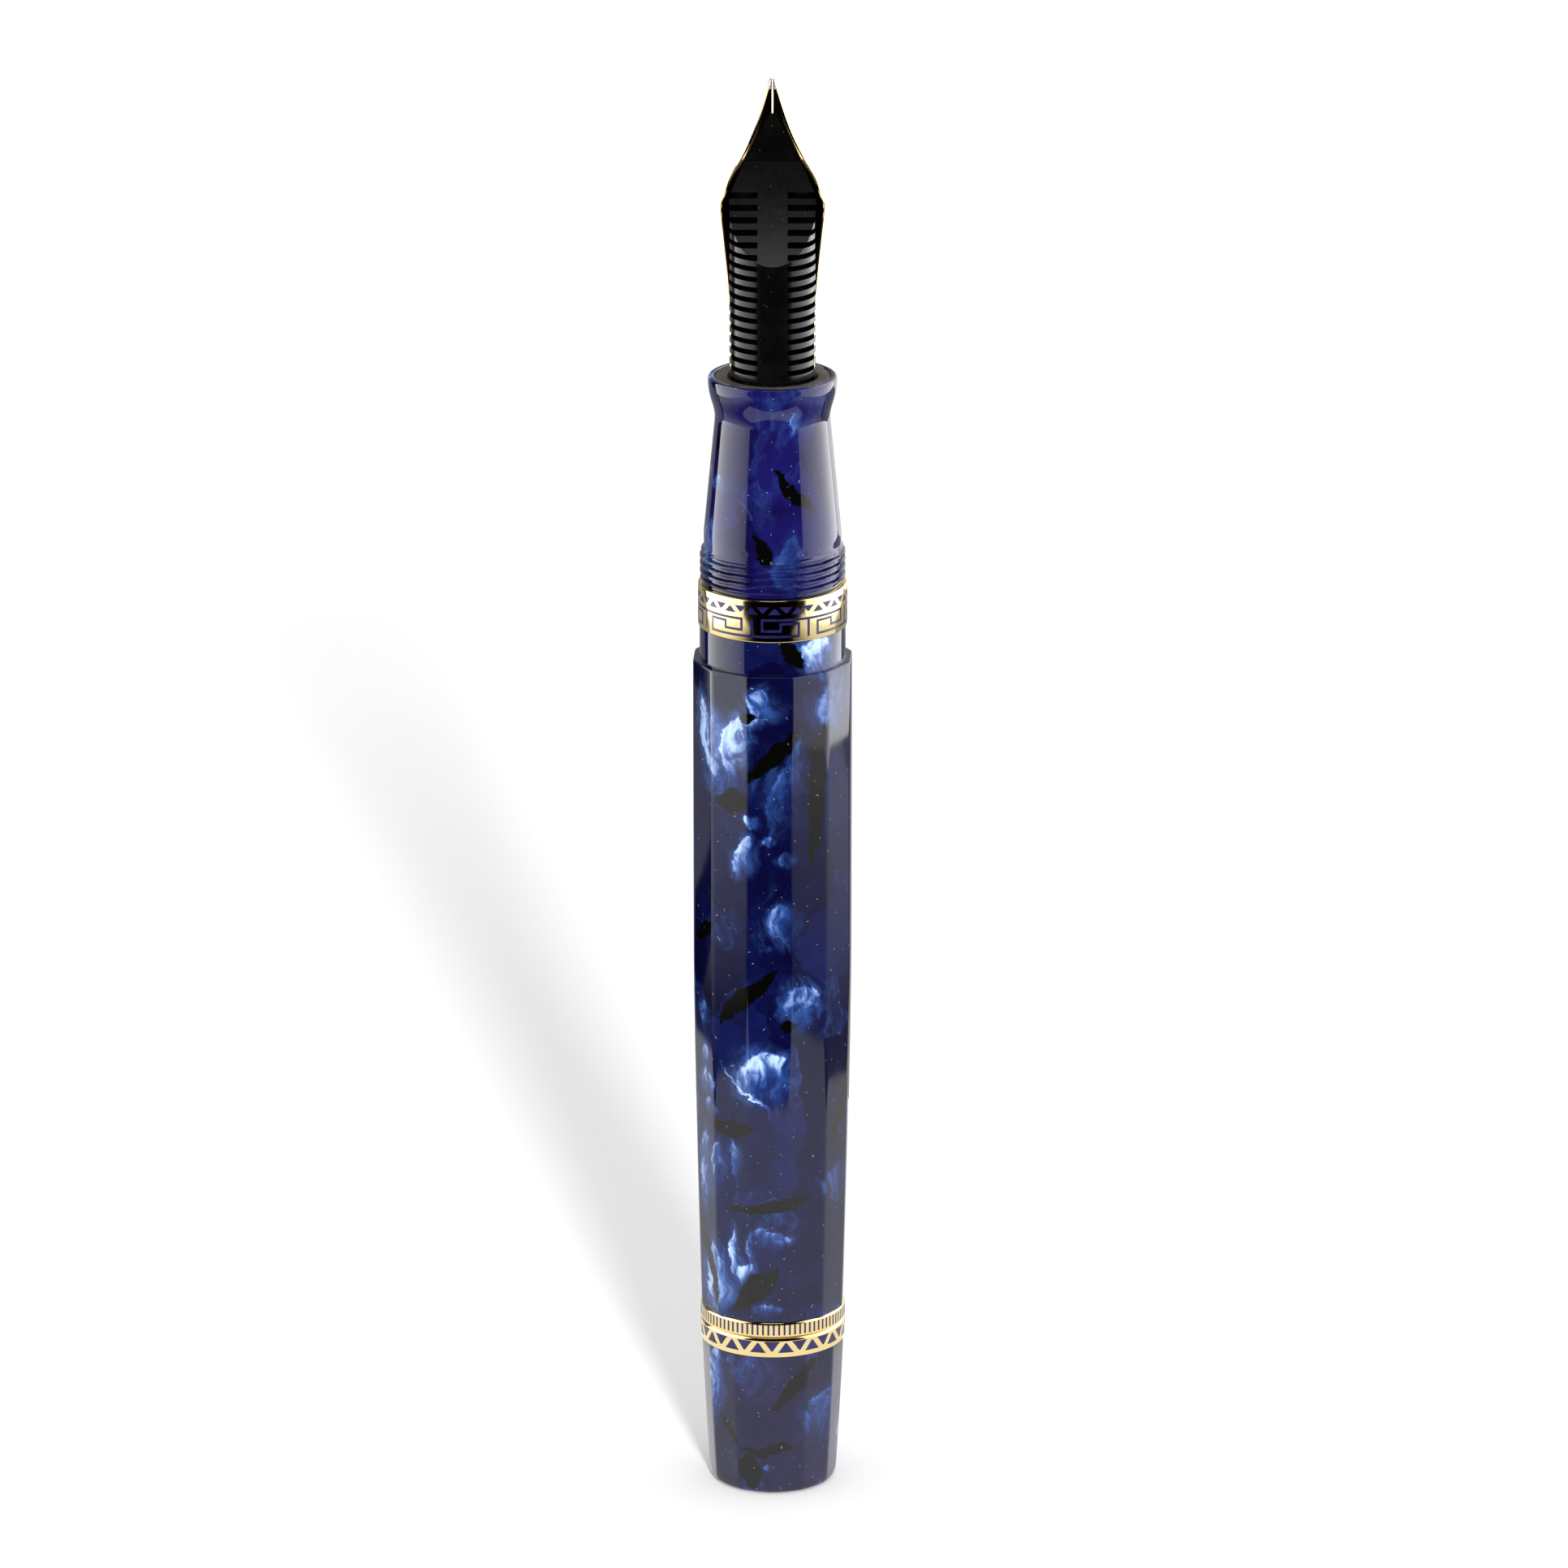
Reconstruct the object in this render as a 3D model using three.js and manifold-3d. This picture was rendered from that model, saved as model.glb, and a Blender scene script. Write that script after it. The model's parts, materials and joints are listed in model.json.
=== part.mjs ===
// A twelve-sided, piston-filling fountain pen without its cap, standing on its filler knob.
// Millimetres. +Z runs along the pen from the knob to the nib, and the origin is the centre
// of the knob's flat end. The nib lies on the +Y side of its feed, so the feed faces -Y.
//
// Bench order, from the knob up: knob, slip washer, piston mechanism, barrel, trim band,
// gripping section, and the nib unit in the section's mouth.

import * as THREE from 'three';
import { mergeVertices } from 'three/addons/utils/BufferGeometryUtils.js';
import Module from 'manifold-3d';

const wasm = await Module();
wasm.setup();

// ---------------------------------------------------------------- driving dimensions

const FACETS = 12;
const BARREL_TURN = -17.5;          // degrees from -Y to a corner of the barrel
const KNOB_TURN = -2;               // the same for the knob, screwed home
const SEAM = 0.03;                  // gap between two fixed faces that meet
const FIT = 0.1;                    // radial gap between a fixed piece and its bore

// Heights of the outside, from the knob's flat end
const KNOB_TOP = 14.3;
const KNOB_RING_TOP = 16.3;
const MECHANISM_BOTTOM = 16.35;
const BARREL_BOTTOM = 17.85;
const BARREL_STRAIGHT = 53.8;       // above this the barrel no longer widens
const SHOULDER = 82.2;              // ledge on which the cap's lip seats
const NECK_TOP = 85.4;
const BAND_TOP = 89.5;
const CAP_THREAD_TOP = 93.3;
const GRIP_BOTTOM = 94.5;
const WAIST = 106.2;
const LIP_TOP = 109.5;
const NIB_END = 136.0;
const PEN_LENGTH = 137;

// Radii of the outside. Faceted ones are measured to the corners
const KNOB_END_RADIUS = 6.08;
const KNOB_TOP_RADIUS = 6.82;
const BARREL_END_RADIUS = 6.98;
const BARREL_RADIUS = 7.69;
const RING_RADIUS = 6.9;
const NECK_RADIUS = 6.87;
const BAND_RADIUS = 7.0;
const GRIP_RADIUS = 6.46;
const WAIST_RADIUS = 5.36;
const LIP_RADIUS = 6.04;
const CAP_THREAD = { crest: 6.85, tube: 0.34, pitch: 0.72 };

// Piston filler: four turns of the knob push the piston 24 mm and lift the knob 4.4 mm
const PISTON_TRAVEL = 24;
const KNOB_RISE = 4.4;
const KNOB_TURNS = 4;
const SPINDLE_LEAD = (PISTON_TRAVEL + KNOB_RISE) / KNOB_TURNS;
const STEM_PITCH = KNOB_RISE / KNOB_TURNS;
const CHAMBER_RADIUS = 4.8;
const CHAMBER_BOTTOM = 38.1;
const CHAMBER_TOP = 75.2;
const HOUSING_BORE_RADIUS = 5.7;
const HOUSING_RADIUS = 5.45;
const HOUSING_INNER_RADIUS = 4.75;
const HOUSING_TOP = 36;
const STEM_RADIUS = 4.3;
const STEM_INNER_RADIUS = 3.6;
const STEM_TOP = 27;
const INSERT_RADIUS = 4.5;
const INSERT_BOTTOM = 4.65;
const INSERT_FLOOR = 8;
const INSERT_SEAT = 15.05;
const FLANGE_RADIUS = 5.5;
const FLANGE_TOP = 15.65;
const SPINDLE_RADIUS = 1.55;
const SPINDLE_BOTTOM = 4.8;
const SPINDLE_TOP = 39.6;
const PIN_RADIUS = 0.5;
const PIN_HEIGHT = 6.3;
const ROD_RADIUS = 3.4;
const ROD_FLAT = 2.95;              // half the width across the rod's two flats
const ROD_BORE_RADIUS = 2.45;
const ROD_BOTTOM = 8.6;
const ROD_TOP = 43.5;
const ROD_CLEARANCE = 0.12;
const HEAD_BOTTOM = 43.55;
const HEAD_TOP = 49.4;
const SEAL_GROOVE_RADIUS = 3.2;
const SEAL_HEIGHT = 1.8;
const SCREW_RADIUS = 0.8;

// Section, nib housing, nib and feed
const TENON_BOTTOM = 76.5;
const TENON_RADIUS = 5.35;
const TENON_BORE_RADIUS = 5.75;
const INK_WAY_RADIUS = 3.2;
const UNIT_BOTTOM = 98;
const UNIT_SEAT = 108.45;
const UNIT_RADIUS = 4.6;
const COLLAR_RADIUS = 5.42;
const COLLAR_MOUTH_RADIUS = 4.27;
const NIB_BORE_RADIUS = 4.0;
const NIB_BOTTOM = 99;
const SLIT_WIDTH = 0.24;
const BREATHER_HEIGHT = 121.5;
const BREATHER_RADIUS = 0.8;
const FEED_RADIUS = 3.7;
const FIN_RADIUS = 4.02;
const FIN_BOTTOM = 109.7;
const FEED_BOTTOM = 98.3;
const FEED_TIP = 133.7;
const FEED_TAIL_RADIUS = 1.6;
const FEED_TAIL_BOTTOM = 88;
const INK_CHANNEL_TOP = 128.8;
const FIN_COUNT = 17;
const FIN_PITCH = 1;
const TOP_SLOT = 126.8;
const SLOT_HEIGHT = 0.5;
const SPINE_HALF_WIDTH = 1.4;
const FEED_SIDES = 18;

// The nib at stations from its shank to its end: height, half width as seen from the feed,
// half the angle that the sheet wraps, height of its crown above the pen's axis, thickness
const NIB_STATIONS = [
  { z: 99, half: 3.95, wrap: 88, crown: 3.95, thick: 0.2 },
  { z: 113.5, half: 3.95, wrap: 88, crown: 3.95, thick: 0.2 },
  { z: 118, half: 4.18, wrap: 83, crown: 3.95, thick: 0.2 },
  { z: 122.5, half: 4.65, wrap: 72, crown: 3.93, thick: 0.2 },
  { z: 125.6, half: 4.94, wrap: 64, crown: 3.9, thick: 0.22 },
  { z: 126.4, half: 4.64, wrap: 59, crown: 3.88, thick: 0.23 },
  { z: 127.9, half: 4.12, wrap: 51, crown: 3.86, thick: 0.24 },
  { z: 129.4, half: 3.14, wrap: 39, crown: 3.83, thick: 0.25 },
  { z: 131.4, half: 2.07, wrap: 27, crown: 3.78, thick: 0.27 },
  { z: 133.4, half: 1.26, wrap: 18, crown: 3.72, thick: 0.3 },
  { z: 136, half: 0.5, wrap: 9, crown: 3.62, thick: 0.36 },
];

// ---------------------------------------------------------------- materials

function finish(color, roughness, metalness) {
  return new THREE.MeshStandardMaterial({ color, roughness, metalness });
}

const celluloid = finish(0x1c1f6e, 0.12, 0);
const gold = finish(0xe8c06a, 0.22, 1);
const brass = finish(0xb08d4a, 0.35, 1);
const steel = finish(0xa8aab0, 0.3, 1);
const iridium = finish(0xd8d8dc, 0.3, 1);
const ebonite = finish(0x0b0b0c, 0.4, 0);
const collarPlastic = finish(0x4a4640, 0.7, 0);
const whitePlastic = finish(0xd9d6cc, 0.5, 0);
const rubber = finish(0x161616, 0.75, 0);

// ---------------------------------------------------------------- solids

const radians = THREE.MathUtils.degToRad;

// A closed mesh as a solid, with its faces turned outwards
function solid(geometry) {
  const shared = geometry.clone();
  shared.deleteAttribute('normal');
  shared.deleteAttribute('uv');
  const merged = mergeVertices(shared, 1e-5);
  const position = merged.attributes.position;
  const index = merged.index.array;
  const [a, b, c] = [new THREE.Vector3(), new THREE.Vector3(), new THREE.Vector3()];
  const faces = [];
  let volume = 0;
  for (let i = 0; i < index.length; i += 3) {
    const face = [index[i], index[i + 1], index[i + 2]];
    if (new Set(face).size === 3) {
      faces.push(face);
      a.fromBufferAttribute(position, face[0]);
      b.fromBufferAttribute(position, face[1]);
      c.fromBufferAttribute(position, face[2]);
      volume += a.dot(b.cross(c));
    }
  }
  const outward = faces.map((face) => (volume < 0 ? face.toReversed() : face));
  return new wasm.Manifold(new wasm.Mesh({
    numProp: 3,
    vertProperties: new Float32Array(position.array),
    triVerts: new Uint32Array(outward.flat()),
  }));
}

function geometryOf(shape) {
  const mesh = shape.getMesh();
  const geometry = new THREE.BufferGeometry();
  geometry.setAttribute('position', new THREE.BufferAttribute(mesh.vertProperties, 3));
  geometry.setIndex(new THREE.BufferAttribute(mesh.triVerts, 1));
  geometry.computeVertexNormals();
  return geometry;
}

// A profile of [radius, height] points turned about Z. A profile that is clear of the axis
// closes on itself. firstCorner is in degrees from -Y
function turned(profile, sides = 32, firstCorner = 0) {
  const points = profile.map(([radius, height]) => new THREE.Vector2(radius, height));
  if (points[0].x > 0) {
    points.push(points[0].clone());
  }
  const geometry = new THREE.LatheGeometry(points, sides, radians(firstCorner), 2 * Math.PI);
  return solid(geometry.rotateX(Math.PI / 2));
}

function turnedPath(path, divisions, sides) {
  return turned(path.getPoints(divisions).map((point) => [point.x, point.y]), sides);
}

// A box from its lowest to its highest corner
function block(low, high) {
  const size = high.map((value, i) => value - low[i]);
  const middle = high.map((value, i) => (value + low[i]) / 2);
  return solid(new THREE.BoxGeometry(...size).translate(...middle));
}

function cylinderBetween(radius, from, to, sides = 16) {
  const start = new THREE.Vector3(...from);
  const along = new THREE.Vector3(...to).sub(start);
  const geometry = new THREE.CylinderGeometry(radius, radius, along.length(), sides);
  const turn = new THREE.Quaternion().setFromUnitVectors(
    new THREE.Vector3(0, 1, 0),
    along.clone().normalize(),
  );
  geometry.applyQuaternion(turn);
  geometry.translate(...start.addScaledVector(along, 0.5).toArray());
  return solid(geometry);
}

function polygon(radius, sides) {
  const corners = Array.from({ length: sides }, (_, i) => {
    const angle = (2 * Math.PI * i) / sides;
    return new THREE.Vector2(radius * Math.cos(angle), radius * Math.sin(angle));
  });
  return new THREE.Shape(corners);
}

class Helix extends THREE.Curve {
  constructor(radius, lead, from, to) {
    super();
    Object.assign(this, { radius, lead, from, to });
  }

  getPoint(share, target = new THREE.Vector3()) {
    const rise = share * (this.to - this.from);
    const angle = (2 * Math.PI * rise) / this.lead;
    return target.set(
      this.radius * Math.cos(angle),
      this.radius * Math.sin(angle),
      this.from + rise,
    );
  }
}

// A right-hand thread: one ridge of square section wound about Z
function thread({ crest, tube, lead, from, to, stepsPerTurn = 14 }) {
  const helix = new Helix(crest - tube, lead, from, to);
  const steps = Math.ceil(((to - from) / lead) * stepsPerTurn);
  return solid(new THREE.ExtrudeGeometry(polygon(tube, 4), {
    steps,
    bevelEnabled: false,
    extrudePath: helix,
  }));
}

// ---------------------------------------------------------------- knob

function knobRadius(z) {
  const taper = 1 - (1 - z / KNOB_TOP) ** 1.2;
  return KNOB_END_RADIUS + (KNOB_TOP_RADIUS - KNOB_END_RADIUS) * taper;
}

function knobShell() {
  const chamfer = 0.15;
  const steps = 6;
  const profile = [[0, 0], [KNOB_END_RADIUS - chamfer, 0]];
  for (let i = 0; i <= steps; i += 1) {
    const z = chamfer + ((KNOB_TOP - chamfer) * i) / steps;
    profile.push([knobRadius(z), z]);
  }
  profile.push([0, KNOB_TOP]);
  const cavity = turned([
    [0, INSERT_BOTTOM - FIT],
    [INSERT_RADIUS + FIT, INSERT_BOTTOM - FIT],
    [INSERT_RADIUS + FIT, KNOB_TOP + 1],
    [0, KNOB_TOP + 1],
  ]);
  return turned(profile, FACETS, KNOB_TURN).subtract(cavity);
}

// A trim ring with small outer chamfers
function trimRing(bottom, top, radius, innerRadius) {
  const chamfer = 0.1;
  return turned([
    [innerRadius, bottom],
    [radius - chamfer, bottom],
    [radius, bottom + chamfer],
    [radius, top - chamfer],
    [radius - chamfer, top],
    [innerRadius, top],
  ], 36);
}

function knobTrimRing() {
  const recess = turned([
    [0, INSERT_SEAT - SEAM],
    [FLANGE_RADIUS + FIT, INSERT_SEAT - SEAM],
    [FLANGE_RADIUS + FIT, KNOB_RING_TOP + 1],
    [0, KNOB_RING_TOP + 1],
  ]);
  const ring = trimRing(KNOB_TOP + SEAM, KNOB_RING_TOP, RING_RADIUS, INSERT_RADIUS + FIT);
  return ring.subtract(recess);
}

function crossPinHole(radius) {
  return cylinderBetween(radius, [-6, 0, PIN_HEIGHT], [6, 0, PIN_HEIGHT], 12);
}

// Brass cup bonded into the knob. Its hollow stem screws into the mechanism housing
function knobInsert() {
  const cup = turned([
    [SPINDLE_RADIUS + FIT, INSERT_BOTTOM],
    [INSERT_RADIUS, INSERT_BOTTOM],
    [INSERT_RADIUS, INSERT_SEAT],
    [FLANGE_RADIUS, INSERT_SEAT],
    [FLANGE_RADIUS, FLANGE_TOP],
    [STEM_RADIUS, FLANGE_TOP],
    [STEM_RADIUS, STEM_TOP],
    [STEM_INNER_RADIUS, STEM_TOP],
    [STEM_INNER_RADIUS, INSERT_FLOOR],
    [SPINDLE_RADIUS + FIT, INSERT_FLOOR],
  ], 28);
  const stemThread = thread({
    crest: HOUSING_INNER_RADIUS - FIT,
    tube: 0.4,
    lead: STEM_PITCH,
    from: STEM_TOP - 3.5,
    to: STEM_TOP - 1,
  });
  return cup.add(stemThread).subtract(crossPinHole(PIN_RADIUS + FIT));
}

function spindle() {
  const nose = 0.5;
  const bar = turned([
    [0, SPINDLE_BOTTOM],
    [SPINDLE_RADIUS, SPINDLE_BOTTOM],
    [SPINDLE_RADIUS, SPINDLE_TOP - nose],
    [SPINDLE_RADIUS - nose, SPINDLE_TOP],
    [0, SPINDLE_TOP],
  ], 14);
  const driveThread = thread({
    crest: ROD_BORE_RADIUS - 2 * FIT,
    tube: 0.8,
    lead: SPINDLE_LEAD,
    from: INSERT_FLOOR + 1,
    to: SPINDLE_TOP - 2 * nose,
  });
  return bar.add(driveThread).subtract(crossPinHole(PIN_RADIUS + FIT));
}

function spindlePin() {
  const reach = INSERT_RADIUS - FIT;
  return cylinderBetween(PIN_RADIUS, [-reach, 0, PIN_HEIGHT], [reach, 0, PIN_HEIGHT], 12);
}

// ---------------------------------------------------------------- slip washer

const KEY = { inner: 4.88, outer: 5.35, halfWidth: 0.6, top: 22.3 };

// Slides with the knob and is kept from turning by its key, which runs in the housing's slot
function slipWasher() {
  const bottom = FLANGE_TOP + 0.05;
  const top = MECHANISM_BOTTOM - 0.08;
  const ring = turned([
    [HOUSING_INNER_RADIUS, bottom],
    [FLANGE_RADIUS, bottom],
    [FLANGE_RADIUS, top],
    [HOUSING_INNER_RADIUS, top],
  ], 28);
  const key = block(
    [KEY.inner, -KEY.halfWidth, (bottom + top) / 2],
    [KEY.outer, KEY.halfWidth, KEY.top],
  );
  return ring.add(key);
}

// ---------------------------------------------------------------- barrel and mechanism

function barrelRadius(z) {
  const share = Math.max(0, (BARREL_STRAIGHT - z) / (BARREL_STRAIGHT - BARREL_BOTTOM));
  return BARREL_RADIUS - (BARREL_RADIUS - BARREL_END_RADIUS) * share ** 1.46;
}

function barrelShell() {
  const chamfer = 0.25;
  const steps = 8;
  const profile = [[0, BARREL_BOTTOM]];
  for (let i = 0; i <= steps; i += 1) {
    const z = BARREL_BOTTOM + ((BARREL_STRAIGHT - BARREL_BOTTOM) * i) / steps;
    profile.push([barrelRadius(z), z]);
  }
  profile.push([BARREL_RADIUS, SHOULDER - chamfer]);
  profile.push([BARREL_RADIUS - chamfer, SHOULDER]);
  profile.push([0, SHOULDER]);
  const neck = turned([
    [0, SHOULDER - 1],
    [NECK_RADIUS, SHOULDER - 1],
    [NECK_RADIUS, NECK_TOP],
    [0, NECK_TOP],
  ], 40);
  const bore = turned([
    [0, BARREL_BOTTOM - 1],
    [HOUSING_BORE_RADIUS, BARREL_BOTTOM - 1],
    [HOUSING_BORE_RADIUS, CHAMBER_BOTTOM],
    [CHAMBER_RADIUS, CHAMBER_BOTTOM],
    [CHAMBER_RADIUS, CHAMBER_TOP],
    [TENON_BORE_RADIUS, CHAMBER_TOP],
    [TENON_BORE_RADIUS, NECK_TOP + 1],
    [0, NECK_TOP + 1],
  ]);
  return turned(profile, FACETS, BARREL_TURN).add(neck).subtract(bore);
}

function rearTrimRing() {
  return trimRing(MECHANISM_BOTTOM, BARREL_BOTTOM - SEAM, RING_RADIUS, HOUSING_RADIUS + FIT);
}

// Brass bush screwed into the barrel's rear end. The knob's stem screws into its bore
function mechanismHousing() {
  const tube = turned([
    [HOUSING_INNER_RADIUS, MECHANISM_BOTTOM],
    [HOUSING_RADIUS, MECHANISM_BOTTOM],
    [HOUSING_RADIUS, HOUSING_TOP],
    [HOUSING_INNER_RADIUS, HOUSING_TOP],
  ], 28);
  const barrelThread = thread({
    crest: HOUSING_BORE_RADIUS - FIT,
    tube: 0.3,
    lead: 1.2,
    from: HOUSING_TOP - 7,
    to: HOUSING_TOP - 4,
  });
  const slot = block(
    [HOUSING_INNER_RADIUS - 0.5, -KEY.halfWidth - 0.2, MECHANISM_BOTTOM - 1],
    [HOUSING_RADIUS + 1, KEY.halfWidth + 0.2, KEY.top + 0.6],
  );
  return tube.add(barrelThread).subtract(slot);
}

// A round bar with two flats, as the piston rod and the hole that guides it
function flattedBar(radius, halfFlat, bottom, top) {
  const bar = turned([[0, bottom], [radius, bottom], [radius, top], [0, top]], 28);
  return bar.intersect(block([-halfFlat, -radius - 1, bottom - 1], [halfFlat, radius + 1, top + 1]));
}

const GUIDE_BOTTOM = 31.6;
const GUIDE_FLANGE_TOP = 36.75;

function rodGuide() {
  const bush = turned([
    [0, GUIDE_BOTTOM],
    [HOUSING_INNER_RADIUS - 0.07, GUIDE_BOTTOM],
    [HOUSING_INNER_RADIUS - 0.07, HOUSING_TOP + SEAM],
    [HOUSING_RADIUS, HOUSING_TOP + SEAM],
    [HOUSING_RADIUS, GUIDE_FLANGE_TOP],
    [0, GUIDE_FLANGE_TOP],
  ], 28);
  const hole = flattedBar(
    ROD_RADIUS + ROD_CLEARANCE,
    ROD_FLAT + ROD_CLEARANCE,
    GUIDE_BOTTOM - 1,
    GUIDE_FLANGE_TOP + 1,
  );
  return bush.subtract(hole);
}

function ring(radius, tube) {
  return solid(new THREE.TorusGeometry(radius, tube, 6, 24));
}

// ---------------------------------------------------------------- piston

function pistonRod() {
  const bar = flattedBar(ROD_RADIUS, ROD_FLAT, ROD_BOTTOM, ROD_TOP);
  const webBottom = 40.8;
  const webTop = 41.4;
  const spindleBore = turned([
    [0, ROD_BOTTOM - 1],
    [ROD_BORE_RADIUS, ROD_BOTTOM - 1],
    [ROD_BORE_RADIUS, webBottom],
    [0, webBottom],
  ], 24);
  const screwHole = turned([
    [0, webTop],
    [SCREW_RADIUS + FIT, webTop],
    [SCREW_RADIUS + FIT, ROD_TOP + 1],
    [0, ROD_TOP + 1],
  ], 16);
  return bar.subtract(spindleBore).subtract(screwHole);
}

const HEAD_RIM = 0.55;
const REAR_SEAL = HEAD_BOTTOM + HEAD_RIM + FIT;
const FRONT_SEAL = HEAD_TOP - HEAD_RIM - FIT - SEAL_HEIGHT;

function pistonHead() {
  const rimRadius = CHAMBER_RADIUS - 0.3;
  const profile = [[SCREW_RADIUS + FIT, HEAD_BOTTOM], [rimRadius, HEAD_BOTTOM]];
  for (const seal of [REAR_SEAL, FRONT_SEAL]) {
    const [low, high] = [seal - FIT, seal + SEAL_HEIGHT + FIT];
    profile.push([rimRadius, low], [SEAL_GROOVE_RADIUS, low]);
    profile.push([SEAL_GROOVE_RADIUS, high], [rimRadius, high]);
  }
  profile.push([rimRadius, HEAD_TOP], [SCREW_RADIUS + FIT, HEAD_TOP]);
  return turned(profile, 24);
}

// A double-lipped seal ring that wipes the ink chamber's wall
function pistonSeal() {
  const lip = CHAMBER_RADIUS - 0.06;
  const lipHeight = 0.35;
  return turned([
    [SEAL_GROOVE_RADIUS + 0.05, 0],
    [lip, 0],
    [lip, lipHeight],
    [lip - 0.25, SEAL_HEIGHT / 2],
    [lip, SEAL_HEIGHT - lipHeight],
    [lip, SEAL_HEIGHT],
    [SEAL_GROOVE_RADIUS + 0.05, SEAL_HEIGHT],
  ], 28);
}

function pistonScrew() {
  const headRadius = 1.9;
  const headHeight = 1.05;
  const seat = HEAD_TOP + SEAM;
  const top = seat + headHeight;
  const screw = turned([
    [0, 41.6],
    [SCREW_RADIUS, 41.6],
    [SCREW_RADIUS, seat],
    [headRadius, seat],
    [headRadius, top],
    [0, top],
  ], 16);
  const slot = block([-headRadius - 1, -0.25, top - 0.5], [headRadius + 1, 0.25, top + 1]);
  return screw.subtract(slot);
}

// ---------------------------------------------------------------- section

function sectionGrip() {
  const foot = BAND_TOP + SEAM;
  const root = CAP_THREAD.crest - 0.4;
  const outline = new THREE.Path();
  outline.moveTo(INK_WAY_RADIUS, TENON_BOTTOM);
  outline.lineTo(TENON_RADIUS, TENON_BOTTOM);
  outline.lineTo(TENON_RADIUS, foot);
  outline.lineTo(root, foot);
  outline.lineTo(GRIP_RADIUS, GRIP_BOTTOM);
  outline.lineTo(WAIST_RADIUS + 0.08, WAIST - 1);
  outline.bezierCurveTo(
    WAIST_RADIUS - 0.06, WAIST + 0.4,
    LIP_RADIUS, LIP_TOP - 2.2,
    LIP_RADIUS, LIP_TOP - 0.45,
  );
  outline.quadraticCurveTo(LIP_RADIUS, LIP_TOP, LIP_RADIUS - 0.3, LIP_TOP);
  outline.lineTo(COLLAR_RADIUS + 0.05, LIP_TOP);
  outline.lineTo(COLLAR_RADIUS + 0.05, UNIT_SEAT);
  outline.lineTo(UNIT_RADIUS + 0.07, UNIT_SEAT);
  outline.lineTo(UNIT_RADIUS + 0.07, UNIT_BOTTOM);
  outline.lineTo(INK_WAY_RADIUS, UNIT_BOTTOM);
  const capThread = thread({
    crest: CAP_THREAD.crest,
    tube: CAP_THREAD.tube,
    lead: CAP_THREAD.pitch,
    from: foot + CAP_THREAD.tube,
    to: CAP_THREAD_TOP,
    stepsPerTurn: 16,
  });
  const tenonThread = thread({
    crest: TENON_BORE_RADIUS - FIT,
    tube: 0.45,
    lead: 1.2,
    from: TENON_BOTTOM + 1.5,
    to: TENON_BOTTOM + 3.9,
  });
  return turnedPath(outline, 4, 28).add(capThread).add(tenonThread);
}

function frontTrimBand() {
  return trimRing(NECK_TOP + SEAM, BAND_TOP, BAND_RADIUS, TENON_RADIUS + FIT);
}

function nibHousing() {
  const mouth = 108.2;
  const top = LIP_TOP - 0.05;
  return turned([
    [NIB_BORE_RADIUS, UNIT_BOTTOM + FIT],
    [UNIT_RADIUS, UNIT_BOTTOM + FIT],
    [UNIT_RADIUS, UNIT_SEAT + SEAM],
    [COLLAR_RADIUS, UNIT_SEAT + SEAM],
    [COLLAR_RADIUS, top],
    [COLLAR_MOUTH_RADIUS, top],
    [COLLAR_MOUTH_RADIUS, mouth],
    [NIB_BORE_RADIUS, mouth],
  ], 36);
}

// ---------------------------------------------------------------- nib

// The nib's section at height z, read off a smooth curve through the stations
function nibSection(z) {
  const last = NIB_STATIONS.length - 1;
  let i = NIB_STATIONS.findIndex((station) => station.z > z) - 1;
  i = i < 0 ? last - 1 : i;
  const [low, high] = [NIB_STATIONS[i], NIB_STATIONS[i + 1]];
  const before = NIB_STATIONS[Math.max(0, i - 1)];
  const after = NIB_STATIONS[Math.min(last, i + 2)];
  const span = high.z - low.z;
  const share = Math.min(1, Math.max(0, (z - low.z) / span));
  const blend = (name) => {
    const inSlope = ((high[name] - before[name]) / (high.z - before.z)) * span;
    const outSlope = ((after[name] - low[name]) / (after.z - low.z)) * span;
    return (2 * share ** 3 - 3 * share ** 2 + 1) * low[name]
      + (share ** 3 - 2 * share ** 2 + share) * (z < NIB_STATIONS[1].z ? 0 : inSlope)
      + (3 * share ** 2 - 2 * share ** 3) * high[name]
      + (share ** 3 - share ** 2) * (z < NIB_STATIONS[1].z ? 0 : outSlope);
  };
  const wrap = radians(blend('wrap'));
  const half = blend('half');
  const radius = half / Math.sin(Math.min(wrap, Math.PI / 2));
  return { wrap, radius, crown: blend('crown'), thick: blend('thick') };
}

// A sheet that follows the nib's sections: across runs from one edge to the other, and
// inner and outer are its faces' depths under the nib's outer face, as functions of the section
function nibSheet({ bottom, top, across, along, spread = 1, inner, outer }) {
  const geometry = new THREE.BoxGeometry(2, 2, 2, across, 1, along);
  const position = geometry.attributes.position;
  for (let i = 0; i < position.count; i += 1) {
    const z = bottom + ((position.getZ(i) + 1) / 2) * (top - bottom);
    const section = nibSection(z);
    const angle = position.getX(i) * section.wrap * spread;
    const depth = position.getY(i) > 0 ? outer(section) : inner(section);
    const radius = section.radius - depth;
    position.setXYZ(
      i,
      radius * Math.sin(angle),
      section.crown - section.radius + radius * Math.cos(angle),
      z,
    );
  }
  return solid(geometry);
}

function nib() {
  const sheet = nibSheet({
    bottom: NIB_BOTTOM,
    top: NIB_END,
    across: 12,
    along: 22,
    inner: (section) => section.thick,
    outer: () => 0,
  });
  const slit = block([-SLIT_WIDTH / 2, 2, BREATHER_HEIGHT], [SLIT_WIDTH / 2, 5, PEN_LENGTH]);
  const hole = cylinderBetween(
    BREATHER_RADIUS,
    [0, 2, BREATHER_HEIGHT],
    [0, 5, BREATHER_HEIGHT],
    14,
  );
  return sheet.subtract(slit).subtract(hole);
}

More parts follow.
